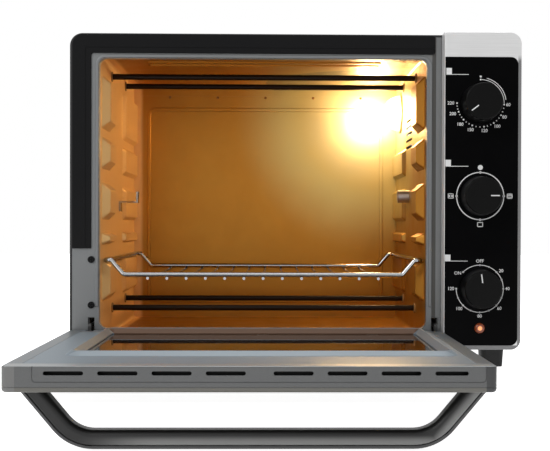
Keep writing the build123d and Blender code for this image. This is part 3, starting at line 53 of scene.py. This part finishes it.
bpy.context.scene.collection.objects.link(camera)
camera.matrix_world = (
    Matrix.Translation((-0.0214933, -1.4086692, 0.1464386))
    @ Matrix.Rotation(-0.0194421, 4, "Z")
    @ Matrix.Rotation(pi / 2 - 0.0109184, 4, "X")
    @ Matrix.Rotation(0.0029175, 4, "Z")
)
bpy.context.scene.camera = camera
bpy.context.scene.view_settings.view_transform = "Standard"


# The studio is a white floor with a low white plinth, so that the open door's handle hangs free
# in front of the plinth. The floor, plinth and surroundings look white and keep the shadows.
class Signal:
    """One output of a material's nodes, with arithmetic that adds Math nodes."""

    def __init__(self, finish, socket):
        self.finish = finish
        self.socket = socket

    def math(self, operation, *others):
        values = dict(enumerate((self, *others)))
        return self.finish.node("ShaderNodeMath", {"operation": operation}, values)

    def __add__(self, other):
        return self.math("ADD", other)

    def __sub__(self, other):
        return self.math("SUBTRACT", other)

    def __rsub__(self, other):
        return self.math("MULTIPLY_ADD", -1.0, other)

    def __mul__(self, other):
        return self.math("MULTIPLY", other)

    def __lt__(self, other):
        return self.math("LESS_THAN", other)

    def __gt__(self, other):
        return self.math("GREATER_THAN", other)

    def __or__(self, other):
        return self.math("MAXIMUM", other)

    def __and__(self, other):
        return self.math("MINIMUM", other)

    def __abs__(self):
        return self.math("ABSOLUTE")

    __radd__ = __add__
    __rmul__ = __mul__


class Finish:
    """A material or world under construction."""

    def __init__(self, name, kind="materials"):
        self.block = getattr(bpy.data, kind).new(name)
        self.block.use_nodes = True
        self.tree = self.block.node_tree
        self.tree.nodes.clear()

    def node(self, kind, settings=None, values=None, output=0):
        made = self.tree.nodes.new(kind)
        for name, value in (settings or {}).items():
            if name == "stops":
                ramp = made.color_ramp.elements
                while len(ramp) < len(value):
                    ramp.new(0.5)
                for element, (position, colour) in zip(ramp, value):
                    element.position = position
                    element.color = (*colour, 1.0)
            else:
                setattr(made, name, value)
        for name, value in (values or {}).items():
            if isinstance(value, Signal):
                self.tree.links.new(value.socket, made.inputs[name])
            elif isinstance(value, tuple) and len(value) == 3 and made.inputs[name].type == "RGBA":
                made.inputs[name].default_value = (*value, 1.0)
            else:
                made.inputs[name].default_value = value
        return Signal(self, made.outputs[output]) if made.outputs else None

    def place(self, stretch=(1.0, 1.0, 1.0)):
        at = self.node("ShaderNodeTexCoord", output="Object")
        if stretch == (1.0, 1.0, 1.0):
            return at
        return self.node("ShaderNodeMapping", {}, {"Vector": at, "Scale": stretch})

    def axes(self):
        at = self.place()
        return [self.node("ShaderNodeSeparateXYZ", {}, {"Vector": at}, axis) for axis in "XYZ"]

    def noise(self, size, detail=2.0, stretch=(1.0, 1.0, 1.0)):
        """Smooth noise from 0 to 1 whose features are about size metres across."""
        values = {"Vector": self.place(stretch), "Scale": 1.0 / size, "Detail": detail}
        return self.node("ShaderNodeTexNoise", {}, values, "Fac")

    def step(self, value, low, high, to_low=0.0, to_high=1.0):
        """A smooth rise from to_low to to_high as value goes from low to high."""
        values = {0: value, 1: low, 2: high, 3: to_low, 4: to_high}
        return self.node("ShaderNodeMapRange", {"interpolation_type": "SMOOTHSTEP"}, values)

    def within(self, value, low, high):
        """1 where a value lies between two limits."""
        return (value > low) & (value < high)

    def mix(self, factor, first, second):
        """One colour over another."""
        values = {0: factor, 6: first, 7: second}
        return self.node("ShaderNodeMix", {"data_type": "RGBA"}, values, 2)

    def bump(self, height, depth, strength=1.0, under=None):
        """A bump that is depth metres high where height is 1."""
        values = {"Strength": strength, "Distance": depth, "Height": height}
        if under is not None:
            values["Normal"] = under
        return self.node("ShaderNodeBump", {}, values)

    def surface(self, **looks):
        """The closing shader, with its sockets named with underscores for spaces."""
        names = {
            "colour": "Base Color", "roughness": "Roughness", "metallic": "Metallic", "alpha": "Alpha",
            "normal": "Normal", "ior": "IOR", "specular": "Specular IOR Level", "coat": "Coat Weight",
            "coat_roughness": "Coat Roughness", "emission": "Emission Color",
            "emission_strength": "Emission Strength", "transmission": "Transmission Weight",
        }
        values = {names[name]: value for name, value in looks.items()}
        shader = self.node("ShaderNodeBsdfPrincipled", {}, values)
        self.node("ShaderNodeOutputMaterial", {}, {"Surface": shader})
        return self.block


def seen_directly(finish):
    """1 where the camera sees a thing itself, in a mirror or through glass, and 0 for its light."""
    path = [finish.node("ShaderNodeLightPath", output=name) for name in (
        "Is Camera Ray", "Is Glossy Ray", "Is Transmission Ray")]
    return path[0] | path[1] | path[2]


def add_box(name, low, high):
    """A box between two corners, with its place in its mesh."""
    centre = (Vector(low) + Vector(high)) / 2
    bpy.ops.mesh.primitive_cube_add(size=1.0, location=centre)
    box = bpy.context.object
    box.name = name
    box.scale = Vector(high) - Vector(low)
    bpy.ops.object.transform_apply(location=True, rotation=True, scale=True)
    return box


white = Finish("studio_white")
white_shade = white.node("ShaderNodeBsdfDiffuse", {}, {"Color": (0.86, 0.86, 0.86)})
white_glow = white.node("ShaderNodeEmission", {}, {
    "Color": (1.0, 1.0, 1.0), "Strength": seen_directly(white) * 0.92})
white.node("ShaderNodeOutputMaterial", {}, {"Surface": white.node(
    "ShaderNodeAddShader", {}, {0: white_shade, 1: white_glow})})

bpy.ops.object.select_all(action="DESELECT")
floor = add_box("floor", (-6.0, -6.0, -0.052), (6.0, 6.0, -0.032))
plinth = add_box("plinth", (-0.9, -0.425, -0.0319), (0.9, 0.6, 0.0))
for part in (floor, plinth):
    part.data.materials.append(white.block)

sky = Finish("surroundings", "worlds")
sky.node("ShaderNodeOutputWorld", {}, {"Surface": sky.node("ShaderNodeBackground", {}, {
    "Color": (1.0, 1.0, 1.0), "Strength": seen_directly(sky) * 0.5 + 0.5})})
bpy.context.scene.world = sky.block


def add_light(name, place, towards, size, power, colour=(1.0, 1.0, 1.0)):
    """A soft rectangular studio light."""
    data = bpy.data.lights.new(name, "AREA")
    data.shape = "RECTANGLE"
    data.size, data.size_y = size
    data.energy = power
    data.color = colour
    light = bpy.data.objects.new(name, data)
    light.location = place
    light.rotation_euler = (Vector(towards) - Vector(place)).to_track_quat("-Z", "Y").to_euler()
    bpy.context.scene.collection.objects.link(light)


add_light("key", (-1.3, -1.5, 1.5), (0.0, -0.1, 0.15), (1.0, 1.0), 22.0)
add_light("top", (0.1, -0.1, 1.7), (0.0, -0.1, 0.2), (1.4, 1.0), 12.0)


# The casing is one folded steel sheet over the top and both sides, in black satin powder coat
# with the fine orange peel of such paint.
def dress(material, *names):
    """Gives CAD nodes a finish."""
    for name in names:
        for slot in nodes[name].material_slots:
            slot.material = material


casing = Finish("casing_paint")
peel = casing.noise(0.0011, 3.0)
wear = casing.noise(0.05, 4.0)
dress(casing.surface(
    colour=casing.mix(wear, (0.008, 0.008, 0.009), (0.010, 0.010, 0.011)),
    roughness=casing.step(wear, 0.3, 0.7, 0.40, 0.43),
    specular=0.35,
    normal=casing.bump(peel, 0.00006),
), "casing_wrap")


# The rear cover, base plate and inner brackets are zinc-coated sheet with the coating's dull
# crystals. Their screws are plain zinc-plated steel.
zinc = Finish("galvanised")
crystals = zinc.node("ShaderNodeTexVoronoi", {}, {"Vector": zinc.place(), "Scale": 160.0}, "Distance")
dress(zinc.surface(
    colour=zinc.mix(zinc.step(crystals, 0.1, 0.7), (0.36, 0.37, 0.38), (0.41, 0.42, 0.43)),
    metallic=0.85,
    roughness=zinc.step(crystals, 0.0, 0.8, 0.42, 0.50),
), "back_cover", "base_plate", "cover_screws", "foot_screws", "motor_screws", "control_plate",
    "thermostat", "glass_retainer", "handle_screws")


# The front frame is pressed steel in grey metallic lacquer, with fine flakes. A darker line of painted
# shade stands for the fold down its right side, and its left lip is painted paler, as the lamp lights
# it.
front = Finish("frame_paint")
flake = front.noise(0.0004, 1.0)
cloud = front.noise(0.06, 3.0)
front_x, front_y = front.axes()[:2]
fold_left, fold_right = 0.1424, 0.1465
lip_right, lip_front = -0.150, -0.1684
front_grey = front.mix(flake, (0.135, 0.140, 0.142), (0.185, 0.190, 0.192))
# painted shade: a darker line down the right side where the fold is
fold_shade = front.within(front_x, fold_left, fold_right)
front_lip = (front_x < lip_right) & (front_y > lip_front)
front_lipped = front.mix(front_lip, front_grey, (0.42, 0.41, 0.38))
dress(front.surface(
    colour=front.mix(fold_shade, front_lipped, (0.058, 0.056, 0.052)),
    metallic=0.55,
    roughness=front.step(cloud, 0.3, 0.7, 0.36, 0.46),
    normal=front.bump(flake, 0.00002),
), "front_frame")


# The black band is a moulded strip along the top and the upper left of the front.
band = Finish("trim_black")
grain = band.noise(0.0006, 2.0)
dress(band.surface(
    colour=band.mix(grain, (0.003, 0.003, 0.0035), (0.006, 0.006, 0.0065)),
    roughness=0.32,
    specular=0.10,
    normal=band.bump(grain, 0.00002),
), "front_trim_band", "hinge_screws")


# The cavity is aluminised steel sheet in a mottled amber brown, with its pads and beads pressed in. It
# is painted paler around the lamp and on the left wall across from it, as the lamp's light falls, and
# its top near the lamp is painted darker as shade.
cavity = Finish("cavity_steel")
cavity_x, cavity_y, cavity_z = cavity.axes()
mottle = cavity.noise(0.03, 2.0)
lamp_at = (0.104, 0.087, 0.2865)
from_lamp = [axis - place for axis, place in zip((cavity_x, cavity_y, cavity_z), lamp_at)]
lamp_away = sum((part * part for part in from_lamp[1:]), from_lamp[0] * from_lamp[0]).math("SQRT")
amber_brown = cavity.mix(mottle, (0.35, 0.150, 0.022), (0.42, 0.19, 0.030))
paler = cavity.mix(cavity.step(lamp_away, 0.11, 0.19), (0.44, 0.34, 0.125), amber_brown)
palest = cavity.mix(cavity.step(lamp_away, 0.05, 0.11), (0.52, 0.48, 0.30), paler)
# painted shade: darker near the lamp at the top of the cavity
ceiling_shade = cavity.mix((cavity_z > 0.3205) & (lamp_away < 0.14), palest, (0.22, 0.17, 0.085))
left_wall = cavity.step(cavity_x, -0.194, -0.188, 1.0, 0.0)
dress(cavity.surface(
    colour=cavity.mix(left_wall, ceiling_shade, (0.78, 0.50, 0.21)),
    metallic=0.75 - left_wall * 0.45,
    specular=0.0,
    roughness=cavity.step(mottle, 0.3, 0.7, 0.33, 0.40),
), "cavity_liner", "cavity_back", "lamp_ring")

rivet = Finish("rivet_steel")
dress(rivet.surface(
    colour=rivet.mix(rivet.noise(0.002), (0.16, 0.075, 0.016), (0.22, 0.10, 0.022)),
    metallic=0.6,
    roughness=0.35,
), "liner_rivets")


# The heating rods are annealed steel tubes, a little blued by heat, in glazed ceramic bushes.
rod = Finish("heater_steel")
heat = rod.noise(0.02, 3.0, (0.4, 1.0, 1.0))
dress(rod.surface(
    colour=rod.mix(heat, (0.010, 0.006, 0.004), (0.022, 0.012, 0.007)),
    metallic=0.2,
    specular=0.12,
    roughness=rod.step(heat, 0.3, 0.7, 0.34, 0.45),
), "heater_upper_front", "heater_upper_rear", "heater_lower_front", "heater_lower_rear")

ceramic = Finish("ceramic")
dress(ceramic.surface(
    colour=ceramic.mix(ceramic.noise(0.004), (0.30, 0.17, 0.06), (0.38, 0.22, 0.09)),
    roughness=0.4,
    specular=0.1,
), "heater_bushes", "lamp_socket")

studs = Finish("brass")
dress(studs.surface(
    colour=studs.mix(studs.noise(0.003), (0.55, 0.38, 0.14), (0.68, 0.49, 0.20)),
    metallic=1.0,
    roughness=0.35,
), "heater_terminals")


# The lamp behind its domed glass is lit. It lights the whole cavity with a warm light.
glass_dome = Finish("lamp_glass")
dress(glass_dome.surface(
    colour=glass_dome.mix(glass_dome.noise(0.01), (1.0, 0.95, 0.85), (1.0, 0.98, 0.92)),
    roughness=0.08,
    alpha=0.45,
    emission=(1.0, 0.72, 0.38),
    emission_strength=2.0,
), "lamp_cover")

bulb = Finish("bulb_glass")
dress(bulb.surface(
    colour=bulb.mix(bulb.noise(0.01), (1.0, 0.9, 0.7), (1.0, 0.95, 0.8)),
    roughness=0.3,
    emission=(1.0, 0.78, 0.45),
    emission_strength=25.0,
), "lamp_bulb")

lamp_data = bpy.data.lights.new("oven_lamp", "POINT")
lamp_data.energy = 1.5
lamp_data.color = (1.0, 0.66, 0.34)
lamp_data.shadow_soft_size = 0.020
lamp = bpy.data.objects.new("oven_lamp", lamp_data)
lamp.location = lamp_at
bpy.context.scene.collection.objects.link(lamp)


# The rack and the spit support are bright chromed steel wire and strip.
chrome = Finish("rack_chrome")
ripple = chrome.noise(0.004, 2.0)
dress(chrome.surface(
    colour=chrome.mix(ripple, (0.32, 0.32, 0.32), (0.40, 0.40, 0.40)),
    metallic=1.0,
    roughness=chrome.step(ripple, 0.3, 0.7, 0.10, 0.20),
), "rack_frame", "rack_grid", "spit_support")

steel = Finish("drive_steel")
lathe = steel.noise(0.0008, 2.0, (1.0, 0.1, 1.0))
dress(steel.surface(
    colour=steel.mix(lathe, (0.42, 0.42, 0.42), (0.56, 0.56, 0.56)),
    metallic=1.0,
    roughness=0.34,
    normal=steel.bump(lathe, 0.00002),
), "drive_socket", "glass_clips", "temperature_shaft", "function_shaft", "timer_shaft", "timer_bell")

hinge = Finish("hinge_steel")
dress(hinge.surface(
    colour=hinge.mix(hinge.noise(0.0008), (0.030, 0.030, 0.030), (0.050, 0.050, 0.050)),
    metallic=0.8,
    roughness=0.45,
), "hinge_pins", "hinge_bracket_left", "hinge_bracket_right", "hinge_springs", "hinge_arm_left",
    "hinge_arm_right")

moulded = Finish("switch_body")
dress(moulded.surface(
    colour=moulded.mix(moulded.noise(0.002), (0.56, 0.54, 0.49), (0.62, 0.60, 0.55)),
    roughness=0.5,
), "rotisserie_motor", "function_switch", "pilot_lamp", "terminal_block")

dark_moulded = Finish("timer_body")
dress(dark_moulded.surface(
    colour=dark_moulded.mix(dark_moulded.noise(0.002), (0.02, 0.02, 0.022), (0.03, 0.03, 0.032)),
    roughness=0.5,
), "timer")


# The control panel is a silver-lacquered shell, brushed along its width at the top and painted darker
# along its bottom and right edges as shade, with a high gloss black inset.
silver = Finish("panel_silver")
brushed = silver.noise(0.0006, 3.0, (0.02, 1.0, 1.0))
shell_low, shell_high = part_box("panel_bezel")
silver_x, silver_z = silver.axes()[::2]
shell_side, shell_foot = 0.0034, 0.0045
silver_light = silver.mix(brushed, (0.58, 0.58, 0.58), (0.72, 0.72, 0.72))
# painted shade along the right edge and the bottom, except near the top
silver_edge_shade = (silver_x > shell_high[0] - shell_side) | (silver_z < shell_low[2] + shell_foot)
silver_upper = silver.step(silver_z, shell_high[2] - 0.030, shell_high[2] - 0.022)
silver_shade = silver_edge_shade & (1.0 - silver_upper)
dress(silver.surface(
    colour=silver.mix(silver_shade, silver_light, (0.170, 0.170, 0.172)),
    metallic=0.35,
    roughness=0.36,
    normal=silver.bump(brushed, 0.00002),
), "panel_bezel")

gloss = Finish("fascia_black")
dress(gloss.surface(
    colour=gloss.mix(gloss.noise(0.02), (0.0012, 0.0012, 0.0014), (0.0022, 0.0022, 0.0025)),
    roughness=0.06,
    specular=0.02,
), "panel_fascia")


# The knobs are satin black mouldings with a white pointer let into the face. The scales are
# printed on the gloss inset in white.
knob_black = Finish("knob_black")
knob_grain = knob_black.noise(0.0005, 2.0)
dress(knob_black.surface(
    colour=knob_black.mix(knob_grain, (0.002, 0.002, 0.002), (0.004, 0.004, 0.004)),
    roughness=0.30,
    specular=0.07,
    normal=knob_black.bump(knob_grain, 0.00003),
), "temperature_knob", "function_knob", "timer_knob")

ink = Finish("white_print")
ink_white = ink.surface(
    colour=ink.mix(ink.noise(0.0008), (0.72, 0.72, 0.72), (0.84, 0.84, 0.84)),
    roughness=0.5,
)

panel_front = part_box("panel_fascia")[0][1]
print_depth = 0.00008
dial_x = (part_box("temperature_knob")[0][0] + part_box("temperature_knob")[1][0]) / 2
dials = {}
for dial in ("temperature", "function", "timer"):
    low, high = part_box(dial + "_knob")
    dials[dial] = (dial_x, (low[2] + high[2]) / 2)

prints = []


def keep_print(item):
    """Turns a drawn mark into a thin mesh of ink and keeps it for joining."""
    item.data.materials.clear()
    item.data.materials.append(ink_white)
    prints.append(item)


def print_text(words, x, z, size):
    """Words centred on a place of the panel."""
    bpy.ops.object.text_add(location=(x, panel_front, z), rotation=(pi / 2, 0.0, 0.0))
    text = bpy.context.object
    text.data.body = words
    text.data.size = size
    text.data.align_x = "CENTER"
    text.data.align_y = "CENTER"
    text.data.extrude = print_depth
    text.data.resolution_u = 3
    text.data.offset = 0.00006
    bpy.ops.object.convert(target="MESH")
    bpy.ops.object.transform_apply(location=True, rotation=True, scale=True)
    keep_print(bpy.context.object)


def print_bar(x, z, length, width, angle):
    """A straight bar centred on a place of the panel, its length turned clockwise from upright."""
    bpy.ops.mesh.primitive_cube_add(size=1.0, location=(x, panel_front, z), rotation=(0.0, angle, 0.0))
    bar = bpy.context.object
    bar.scale = (width, 2 * print_depth, length)
    bpy.ops.object.transform_apply(location=True, rotation=True, scale=True)
    keep_print(bar)


def print_dot(x, z, radius):
    """A round dot."""
    bpy.ops.mesh.primitive_cylinder_add(
        vertices=20, radius=radius, depth=2 * print_depth, location=(x, panel_front, z),
        rotation=(pi / 2, 0.0, 0.0),
    )
    bpy.ops.object.transform_apply(location=True, rotation=True, scale=True)
    keep_print(bpy.context.object)


def print_arc(x, z, radius, width, start, end):
    """A ring or part of one, between two clockwise angles from the top, in degrees."""
    bpy.ops.mesh.primitive_cube_add(size=1.0, location=(x, panel_front, z + radius))
    arc = bpy.context.object
    arc.scale = (0.00002, 2 * print_depth, width)
    bpy.ops.object.transform_apply(location=True, rotation=True, scale=True)
    bpy.ops.object.mode_set(mode="EDIT")
    bpy.ops.mesh.select_all(action="DESELECT")
    bpy.ops.object.mode_set(mode="OBJECT")
    for face in arc.data.polygons:
        face.select = face.normal.x > 0.9
    bpy.ops.object.mode_set(mode="EDIT")
    bpy.ops.mesh.select_mode(type="FACE")
    steps = max(6, int((end - start) / 5))
    bpy.ops.mesh.spin(
        steps=steps, angle=radians(end - start), center=(x, panel_front, z), axis=(0.0, -1.0, 0.0)
    )
    bpy.ops.mesh.select_all(action="SELECT")
    bpy.ops.mesh.remove_doubles(threshold=0.000004)
    bpy.ops.transform.rotate(
        value=-radians(start), orient_axis="Y", center_override=(x, panel_front, z)
    )
    bpy.ops.mesh.normals_make_consistent(inside=False)
    bpy.ops.object.mode_set(mode="OBJECT")
    keep_print(arc)


def around(x, z, radius, degrees):
    """The place at a clockwise angle from the top of a dial."""
    return x + radius * sin(radians(degrees)), z + radius * cos(radians(degrees))


ring = 0.0241
bpy.ops.object.select_all(action="DESELECT")

x, z = dials["temperature"]
for degrees, words, out in (
    (93, "60", 0.0283), (120, "80", 0.0282), (144, "100", 0.0290), (172, "120", 0.0282),
    (201, "150", 0.0290), (224, "180", 0.0300), (249, "200", 0.0304), (270, "220", 0.0304),
):
    print_text(words, *around(x, z, out, degrees), 0.0046)
marks = (93, 120, 146, 171.5, 200.5, 226, 248.5, 270)
for degrees in marks:
    print_dot(*around(x, z, ring, degrees), 0.00085)
for first, second in zip(marks, marks[1:]):
    for share in (1 / 3, 2 / 3):
        degrees = first + (second - first) * share
        print_bar(*around(x, z, ring, degrees), 0.0012, 0.0008, radians(degrees))
print_dot(*around(x, z, ring, 0), 0.0009)
print_dot(*around(x, z, ring + 0.0030, 0), 0.0011)
print_arc(x, z, ring, 0.0006, 3, 90)
print_arc(x, z, ring + 0.0020, 0.0007, 14, 82)

x, z = dials["function"]
print_arc(x, z, ring, 0.0010, 0, 360)
for degrees in (0, 90, 180, 270):
    print_dot(*around(x, z, ring, degrees), 0.0013)

x, z = dials["timer"]
for degrees, words, out in (
    (0, "OFF", 0.0281), (50, "20", 0.0284), (90, "40", 0.0283), (135, "60", 0.0284),
    (180, "80", 0.0280), (226, "100", 0.0294), (270, "120", 0.0296), (305, "ON", 0.0276),
):
    print_text(words, *around(x, z, out, degrees), 0.0046)
for turn in range(0, 7):
    print_dot(*around(x, z, ring, turn * 45), 0.00095)
    if turn < 6:
        print_dot(*around(x, z, ring, turn * 45 + 22.5), 0.00085)
print_dot(*around(x, z, ring, 315), 0.00095)
print_arc(x, z, ring, 0.0007, -45, 270)


# Plain signs beside the four-position knob, and a plain tag with a line over each dial.
def print_frame(x, z, width, height, line):
    """The outline of a small upright rectangle."""
    for side in (-1, 1):
        print_bar(x + side * (width - line) / 2, z, height, line, 0.0)
        print_bar(x, z + side * (height - line) / 2, width, line, pi / 2)


x, z = dials["function"]
print_dot(x, z + 0.0291, 0.0026)
print_frame(x + 0.0301, z, 0.0058, 0.0050, 0.0007)
print_bar(x + 0.0301, z + 0.0009, 0.0042, 0.0007, pi / 2)
print_bar(x + 0.0301, z - 0.0009, 0.0042, 0.0007, pi / 2)
print_frame(x - 0.0301, z, 0.0058, 0.0050, 0.0007)
for side in (-1, 1):
    print_dot(x - 0.0301 + side * 0.0013, z, 0.0009)
print_frame(x, z - 0.0290, 0.0060, 0.0050, 0.0008)

for tag_x, tag_z, line_from, line_to in (
    (0.1569, 0.3039, 0.1541, 0.1770),
    (0.1563, 0.2105, 0.1535, 0.1770),
    (0.1563, 0.1139, 0.1535, 0.1767),
):
    print_bar(tag_x, tag_z, 0.0062, 0.0056, 0.0)
    print_bar((line_from + line_to) / 2, tag_z - 0.0034, line_to - line_from, 0.0006, pi / 2)

bpy.ops.object.select_all(action="DESELECT")
for item in prints:
    item.select_set(True)
bpy.context.view_layer.objects.active = prints[0]
bpy.ops.object.join()
scale_print = bpy.context.object
scale_print.name = "dial_scales"
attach(scale_print, "oven_body")


# The pointer on each knob is a thin white inlay, at the angle of its dial.
for dial, degrees in (("temperature", 233.0), ("function", 90.0), ("timer", -8.0)):
    x, z = dials[dial]
    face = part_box(dial + "_knob")[0][1]
    bpy.ops.object.select_all(action="DESELECT")
    bpy.ops.mesh.primitive_cube_add(size=1.0, location=(x, face, z + 0.0114))
    pointer = bpy.context.object
    pointer.name = dial + "_pointer"
    pointer.scale = (0.0011, 0.0002, 0.0088)
    bpy.ops.object.transform_apply(location=True, rotation=True, scale=True)
    bpy.ops.object.mode_set(mode="EDIT")
    bpy.ops.mesh.select_all(action="SELECT")
    bpy.ops.mesh.bevel(offset=0.00009, segments=2, affect="EDGES")
    bpy.ops.transform.rotate(value=-radians(degrees), orient_axis="Y", center_override=(x, face, z))
    bpy.ops.object.mode_set(mode="OBJECT")
    pointer.data.materials.append(ink_white)
    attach(pointer, dial + "_dial")


# The pilot lens is lit orange, brightest in the middle.
pilot = Finish("pilot_orange")
lens_x, lens_z = pilot.axes()[::2]
pilot_x = sum(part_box("pilot_lens")[i][0] for i in (0, 1)) / 2
pilot_z = sum(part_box("pilot_lens")[i][2] for i in (0, 1)) / 2
across, up = lens_x - pilot_x, lens_z - pilot_z
away = (across * across + up * up).math("SQRT")
dress(pilot.surface(
    colour=pilot.mix(pilot.step(away, 0.0015, 0.0030), (0.5, 0.12, 0.02), (0.030, 0.010, 0.004)),
    roughness=0.15,
    emission=pilot.mix(pilot.step(away, 0.0012, 0.0030), (1.0, 0.42, 0.17), (0.13, 0.022, 0.004)),
    emission_strength=1.0,
), "pilot_lens")


# The feet and the cord gland are black moulded rubber.
rubber = Finish("rubber_black")
rubber_grain = rubber.noise(0.0008, 3.0)
dress(rubber.surface(
    colour=rubber.mix(rubber_grain, (0.010, 0.010, 0.010), (0.018, 0.018, 0.018)),
    roughness=0.6,
    specular=0.3,
    normal=rubber.bump(rubber_grain, 0.00004),
), "feet", "cord_gland")


# The door's outer pan is dark grey satin lacquer and its hem has the blue-grey of the inner sheet.
# Its hem's front, lower band, left corner and right end are painted as the light falls on them, and
# its inside is painted nearly black as shade.
pan = Finish("door_paint")
pan_low, pan_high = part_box("door_frame")
pan_x, pan_y, pan_z = pan.axes()
pan_flake = pan.noise(0.0004, 1.0)
band_height, corner_width, end_width, hem_depth, pan_skin_depth = 0.0040, 0.0107, 0.0086, 0.0170, 0.0022
pan_face = pan.mix(pan_flake, (0.080, 0.082, 0.083), (0.108, 0.110, 0.111))
pan_band = pan.mix(pan_z < pan_low[2] + band_height, pan_face, (0.105, 0.102, 0.092))
pan_corner = pan.mix(pan_x < pan_low[0] + corner_width, pan_band, (0.13, 0.13, 0.128))
pan_hem = pan.mix(pan_y < pan_low[1] + hem_depth, (0.115, 0.130, 0.140), (0.24, 0.252, 0.257))
pan_sides = pan.mix(pan_x > pan_high[0] - end_width, pan_corner, (0.042, 0.043, 0.044))
pan_skin = pan.mix(pan_z > pan_high[2] - 0.0004, pan_sides, pan_hem)
# painted shade: the inside of the pan is painted nearly black
pan_inside_shade = (
    pan.within(pan_x, pan_low[0] + pan_skin_depth, pan_high[0] - pan_skin_depth)
    & pan.within(pan_y, pan_low[1] + pan_skin_depth, pan_high[1] - 0.0010)
    & pan.within(pan_z, pan_low[2] + 0.0010, pan_high[2] - 0.0010)
)
dress(pan.surface(
    colour=pan.mix(pan_inside_shade, pan_skin, (0.002, 0.002, 0.002)),
    metallic=0.5,
    roughness=0.42,
    normal=pan.bump(pan_flake, 0.00002),
), "door_frame")

# The inner sheet is blue-grey lacquered steel that carries the window's bead. The bead's front slope
# is painted lighter and its rear inner slope darker, as the light falls on them with the door open.
lining = Finish("door_lining")
lining_y, lining_z = lining.axes()[1:]
lit_from, lit_to = -0.4195, -0.4138
shade_from, shade_to = -0.1952, -0.1908
lining_flake = lining.noise(0.0004, 1.0)
lining_grey = lining.mix(lining_flake, (0.125, 0.155, 0.180), (0.165, 0.200, 0.230))
lining_lit = lining.within(lining_y, lit_from, lit_to) & (lining_z > 0.0384)
lining_shade = lining.within(lining_y, shade_from, shade_to) & (lining_z < 0.0418)
lining_front = lining.mix(lining_lit, lining_grey, (0.20, 0.232, 0.256))
dress(lining.surface(
    colour=lining.mix(lining_shade, lining_front, (0.075, 0.034, 0.014)),
    metallic=0.25,
    roughness=0.50,
    normal=lining.bump(lining_flake, 0.00002),
), "door_inner_panel")

# The inner pane is lightly tinted and the outer one is dark, so the window looks brown.
pane = Finish("door_glass")
dress(pane.surface(
    colour=pane.mix(pane.noise(0.03), (0.46, 0.48, 0.48), (0.52, 0.54, 0.54)),
    roughness=0.02,
    ior=1.5,
    transmission=1.0,
), "inner_glass")

dark_pane = Finish("dark_glass")
dress(dark_pane.surface(
    colour=dark_pane.mix(dark_pane.noise(0.03), (0.070, 0.070, 0.070), (0.090, 0.090, 0.090)),
    roughness=0.02,
    ior=1.5,
    transmission=1.0,
), "outer_glass")


# The handle is a satin black bail with a painted highlight, lighter towards its outer side and left off
# its left leg, with a dark grey metallic strip along it. The distance from the outer side is the least
# of those from its three straight lines.
bail = Finish("handle_black")
bail_low, bail_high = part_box("door_handle")
bail_x, bail_z = bail.axes()[::2]
bail_grain = bail.noise(0.0006, 2.0)
bail_middle = (bail_low[0] + bail_high[0]) / 2
bail_across = abs(bail_x - bail_middle)
bail_lean = radians(50.0)
foot_half_span, bail_half_width = 0.176, 0.0046
bail_half = foot_half_span + bail_half_width / sin(bail_lean)
leg_away = (bail_across - bail_half) * -sin(bail_lean) + (bail_z - pan_low[2]) * cos(bail_lean)
bail_away = leg_away & (bail_z - bail_low[2])
# painted highlight towards the outer side, faded out over the left leg
bail_highlight = bail.step(bail_away, 0.0020, 0.0085, 1.0, 0.0)
highlight_off_left = bail.step(bail_x, -0.180, -0.110, 0.0, 1.0)
dress(bail.surface(
    colour=bail.mix(bail_highlight * highlight_off_left, (0.003, 0.003, 0.003), (0.20, 0.20, 0.197)),
    roughness=0.42,
    metallic=0.2,
    normal=bail.bump(bail_grain, 0.00002),
), "door_handle")

strip = Finish("handle_grey")
strip_grain = strip.noise(0.0005, 1.0)
dress(strip.surface(
    colour=strip.mix(strip_grain, (0.045, 0.045, 0.046), (0.070, 0.070, 0.071)),
    roughness=0.38,
    metallic=0.6,
), "handle_facing")
